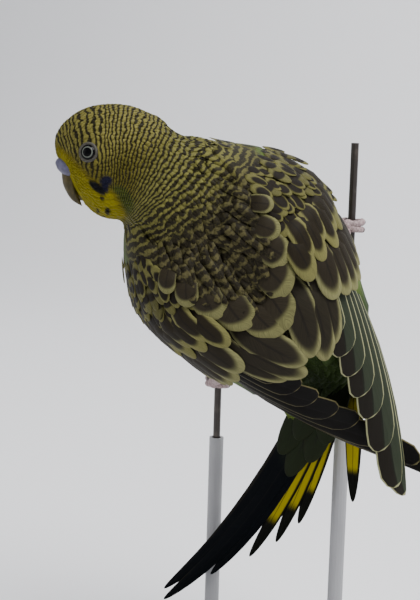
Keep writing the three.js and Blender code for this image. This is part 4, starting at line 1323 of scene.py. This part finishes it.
# %% Leg finish
def leg_material():
    material, base, shader = shaded("leg_skin", roughness=0.6)
    grain = noise(base, 2200.0, 3.0)
    tone = mix(base, grain.step(0.3, 0.7), colour((134, 112, 114)), colour((170, 150, 148)))
    # Painted shade: the skin is darkened in the creases between the scales and plates.
    tone = mix(base, attribute(base, "crease_shade") * 0.6, tone, colour((84, 68, 70)))
    tone = mix(base, attribute(base, "claw"), tone, colour((70, 62, 58)))
    paint(base, shader, tone, grain, 0.3)
    return material


leg_finish = leg_material()
print("leg finish made")

# %% Toe tube
TOE_RADIUS = 0.95
TOE_REACH = 2.35
TOE_SWEEP = (205, 175, 190, 160)
TOE_SPACING = 2.1
TOE_START = math.radians(-104)
SCALES = 9
PLATES = 13
WIRE_RADIUS = 1
GRIP_GAP = 0.3
PALM_RADIUS = 1.7


def grip_point(leg):
    return np.array([leg["wire"], WIRE_Y - WIRE_RADIUS - GRIP_GAP - TOE_RADIUS, leg["grip"]])


def tube(bm, line, radius, sides, crease_shade_of, claw_of):
    """A closed tube along a line of points in the model's axes, in mm."""
    rings = len(line) - 1
    ball = bmesh.ops.create_uvsphere(bm, u_segments=sides, v_segments=rings, radius=1)["verts"]
    co = np.array([v.co for v in ball])
    ring = np.round(np.arccos(np.clip(co[:, 2], -1, 1)) / math.pi * rings).astype(int)
    angle = np.arctan2(co[:, 1], co[:, 0])
    ahead = unit(np.gradient(line, axis=0))[ring]
    side = unit(np.cross(ahead, [0.15, 0.2, 1.0]))
    up = np.cross(side, ahead)
    fat = radius[ring]
    points = line[ring] + side * (np.cos(angle) * fat)[:, None] + up * (np.sin(angle) * fat)[:, None]
    for vert, point in zip(ball, points * MM):
        vert.co = point
    return crease_shade_of[ring], claw_of[ring]


print("grips, mm:", [np.round(grip_point(leg), 1).tolist() for leg in LEGS.values()])

# %% Feet and shanks
def foot(name, leg):
    bm = bmesh.new()
    crease_shades, claws = [], []
    for i, sweep in enumerate(TOE_SWEEP):
        way = 1 if i < 2 else -1
        level = (0.5 if i % 2 == 0 else -0.5) * TOE_SPACING
        part = np.linspace(0, 1, 61)
        start = TOE_START if way > 0 else -math.pi - TOE_START
        turn = start + way * math.radians(sweep) * part
        reach = TOE_REACH + 0.5 * np.sin(part * math.pi)
        claw = smooth(part, 0.74, 0.8)
        reach = reach - 0.25 * claw + 0.5 * smooth(part, 0.85, 1.0)
        line = np.stack([leg["wire"] + np.cos(turn) * reach, WIRE_Y + np.sin(turn) * reach,
                         leg["grip"] + level * lerp(0.35, 1.25, part)], 1)
        wave_of = np.abs(np.sin(part * SCALES * math.pi))
        fat = lerp(TOE_RADIUS, TOE_RADIUS * 0.72, part) * lerp(0.93, 1.03, wave_of)
        fat = lerp(fat, 0.42 * (1 - smooth(part, 0.8, 1.02)) + 0.1, claw)
        fat = fat * np.sqrt(np.clip(part / 0.05, 0, 1))
        fat[-1] = 0.05
        # The mask of the creases between scales, where the skin is darkened as painted shade.
        crease_shade, nail = tube(bm, line, fat, 14, (1 - smooth(wave_of, 0.1, 0.5)) * (1 - claw), claw)
        crease_shades.append(crease_shade)
        claws.append(nail)
    palm = bmesh.ops.create_uvsphere(bm, u_segments=24, v_segments=16, radius=PALM_RADIUS * MM)["verts"]
    bmesh.ops.translate(bm, verts=palm, vec=Vector(grip_point(leg) * MM))
    crease_shades.append(np.zeros(len(palm)))
    claws.append(np.zeros(len(palm)))
    piece = finish_mesh(bm, f"toes_{name}", leg_finish)
    put(piece.data, "crease_shade", np.concatenate(crease_shades))
    put(piece.data, "claw", np.concatenate(claws))
    return piece


def shank(name, leg):
    knee = to_frame(np.array(leg["knee"], float)) / MM
    grip = grip_point(leg)
    part = np.linspace(-0.12, 1, 57)
    line = knee + (grip - knee) * part[:, None]
    line = line + np.array([0, 0, -0.8]) * np.sin(np.clip(part, 0, 1) * math.pi)[:, None]
    plate = np.abs(np.sin(part * PLATES * math.pi))
    fat = lerp(2.5, 1.35, smooth(part, -0.12, 0.35)) * lerp(0.95, 1.03, plate)
    fat[0] = fat[-1] = 0.1
    bm = bmesh.new()
    # The mask of the creases between plates, where the skin is darkened as painted shade.
    crease_shade, nail = tube(bm, line, fat, 18, 1 - smooth(plate, 0.1, 0.45), 0 * part)
    piece = finish_mesh(bm, f"shank_{name}", leg_finish)
    put(piece.data, "crease_shade", crease_shade)
    put(piece.data, "claw", nail)
    return piece


feet = {name: foot(name, leg) for name, leg in LEGS.items()}
shanks = {name: shank(name, leg) for name, leg in LEGS.items()}
print("feet made")

# %% [markdown]
# ## Wires and stand
# The wires have a dark satin coating, a little worn, and the stand is matt grey paint with a fine orange
# peel. Both stay the solid model's own meshes and only get a finish.

# %% Finishes of wires and stand
def wire_material():
    material, base, shader = shaded("wire", roughness=0.4, Metallic=0.25)
    wear = noise(base, 260.0, 4.0)
    tone = mix(base, wear.step(0.55, 0.75), colour((44, 38, 34)), colour((70, 62, 56)))
    paint(base, shader, tone, wear, 0.15)
    return material


def stand_material():
    material, base, shader = shaded("stand_paint", roughness=0.55)
    peel = noise(base, 1500.0)
    cloud = noise(base, 45.0, 3.0).step(0.3, 0.7)
    tone = mix(base, cloud, colour((150, 150, 152)), colour((158, 158, 160)))
    paint(base, shader, tone, peel, 0.08)
    return material


wire_finish = wire_material()
stand_finish = stand_material()
for name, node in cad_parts.items():
    if name.startswith("perch_wire"):
        node.data.materials.clear()
        node.data.materials.append(wire_finish)
    if name.startswith("stand_"):
        node.data.materials.clear()
        node.data.materials.append(stand_finish)
print("wires and stand finished")

# %% [markdown]
# ## Which piece stands for which solid
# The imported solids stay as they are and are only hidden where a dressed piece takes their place. Every new
# piece rides on the one body of this still model.

# %% Join the pieces to the frame
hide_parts("torso", "neck", "head")
for side, name in ((1, "right"), (-1, "left")):
    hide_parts(f"wing_{name}")
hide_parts("tail")
for name, (ball, lid) in eye_pieces.items():
    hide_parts(f"eye_{name}")
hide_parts("bill_upper")
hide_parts("bill_lower")
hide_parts("cere")
for name in LEGS:
    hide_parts(f"foot_{name}")
    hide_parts(f"leg_{name}")
dressed = [skin, *coat_pieces, *wing_pieces[1], *wing_pieces[-1], *tail_pieces]
dressed += [bill_upper, bill_lower, cere]
dressed += [piece for pair in eye_pieces.values() for piece in pair]
dressed += [*feet.values(), *shanks.values()]
for piece in dressed:
    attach(piece, "root")
print("dressed pieces:", len(dressed))

# %% [markdown]
# ## Floor, light and camera
# A pale floor that curves up into a backdrop, large soft lights and a camera at the photograph's place. The
# key light comes from above on the right, a weak one fills the shaded side, and one lights the backdrop.

# %% Stage
def stage_material():
    material, base, shader = shaded("stage_pale", roughness=0.9)
    paint(base, shader, mix(base, noise(base, 2.0), colour((236, 236, 238)), colour((241, 241, 243))))
    return material


FLAT_PART, BEND_PART = 0.45, 0.2
FLOOR_FROM, FLOOR_TO, BEND_RADIUS = -1.4, 0.55, 0.45
FLOOR_HALF_WIDTH, WALL_HEIGHT = 2.5, 2.2
bm = bmesh.new()
floor_grid = bmesh.ops.create_grid(bm, x_segments=1, y_segments=48, size=1.0)["verts"]
for vert in floor_grid:
    along = (vert.co.y + 1) / 2
    arc = min(max((along - FLAT_PART) / BEND_PART, 0), 1) * math.pi / 2
    wall = max(along - FLAT_PART - BEND_PART, 0) / (1 - FLAT_PART - BEND_PART)
    vert.co.x *= FLOOR_HALF_WIDTH
    vert.co.y = lerp(FLOOR_FROM, FLOOR_TO, min(along / FLAT_PART, 1)) + BEND_RADIUS * math.sin(arc)
    vert.co.z = BEND_RADIUS * (1 - math.cos(arc)) + wall * WALL_HEIGHT
floor = finish_mesh(bm, "floor", stage_material())


def lamp(name, place, aim, size, power):
    data = bpy.data.lights.new(name, "AREA")
    data.size = size
    data.energy = power
    made = bpy.data.objects.new(name, data)
    made.location = place
    made.rotation_euler = (Vector(aim) - Vector(place)).to_track_quat("-Z", "Y").to_euler()
    bpy.context.scene.collection.objects.link(made)


BIRD_MIDDLE = (0.0, 0.0, 0.1)
ROOM_GREY, ROOM_LIGHT = (215, 217, 222), 0.7
lamp("key", (0.45, -0.2, 0.75), BIRD_MIDDLE, 0.45, 9.0)
lamp("fill", (-0.6, -0.6, 0.3), BIRD_MIDDLE, 0.6, 1.5)
lamp("back", (0.0, 0.3, 0.9), (0.0, 0.9, 0.2), 0.6, 7.0)
world = bpy.data.worlds.new("soft_room")
world.use_nodes = True
background = world.node_tree.nodes["Background"]
background.inputs["Color"].default_value = colour(ROOM_GREY)
background.inputs["Strength"].default_value = ROOM_LIGHT
bpy.context.scene.world = world

# %% [markdown]
# ## Camera
# The camera's place, its direction and its lens were found by fitting the photograph's upright bars, so the
# picture keeps the photograph's framing.

# %% Camera
CAMERA_AT = Vector((0.159695, -0.294931, 0.162617))
CAMERA_LOOK = Vector((-0.5018, 0.8507, -0.1564))
CAMERA_UP = Vector((-0.1045, 0.1200, 0.9873))
LENS, SENSOR = 81.92, 36
camera_data = bpy.data.cameras.new("camera")
camera_data.lens = LENS
camera_data.sensor_width = SENSOR
camera = bpy.data.objects.new("camera", camera_data)
look = CAMERA_LOOK.normalized()
right = look.cross(CAMERA_UP).normalized()
up = right.cross(look)
turn = Matrix((right, up, -look)).transposed()
camera.matrix_world = Matrix.Translation(CAMERA_AT) @ turn.to_4x4()
bpy.context.scene.collection.objects.link(camera)
bpy.context.scene.camera = camera
print("camera distance to the bird, mm:", round((CAMERA_AT - Vector(BIRD_MIDDLE)).length / MM))
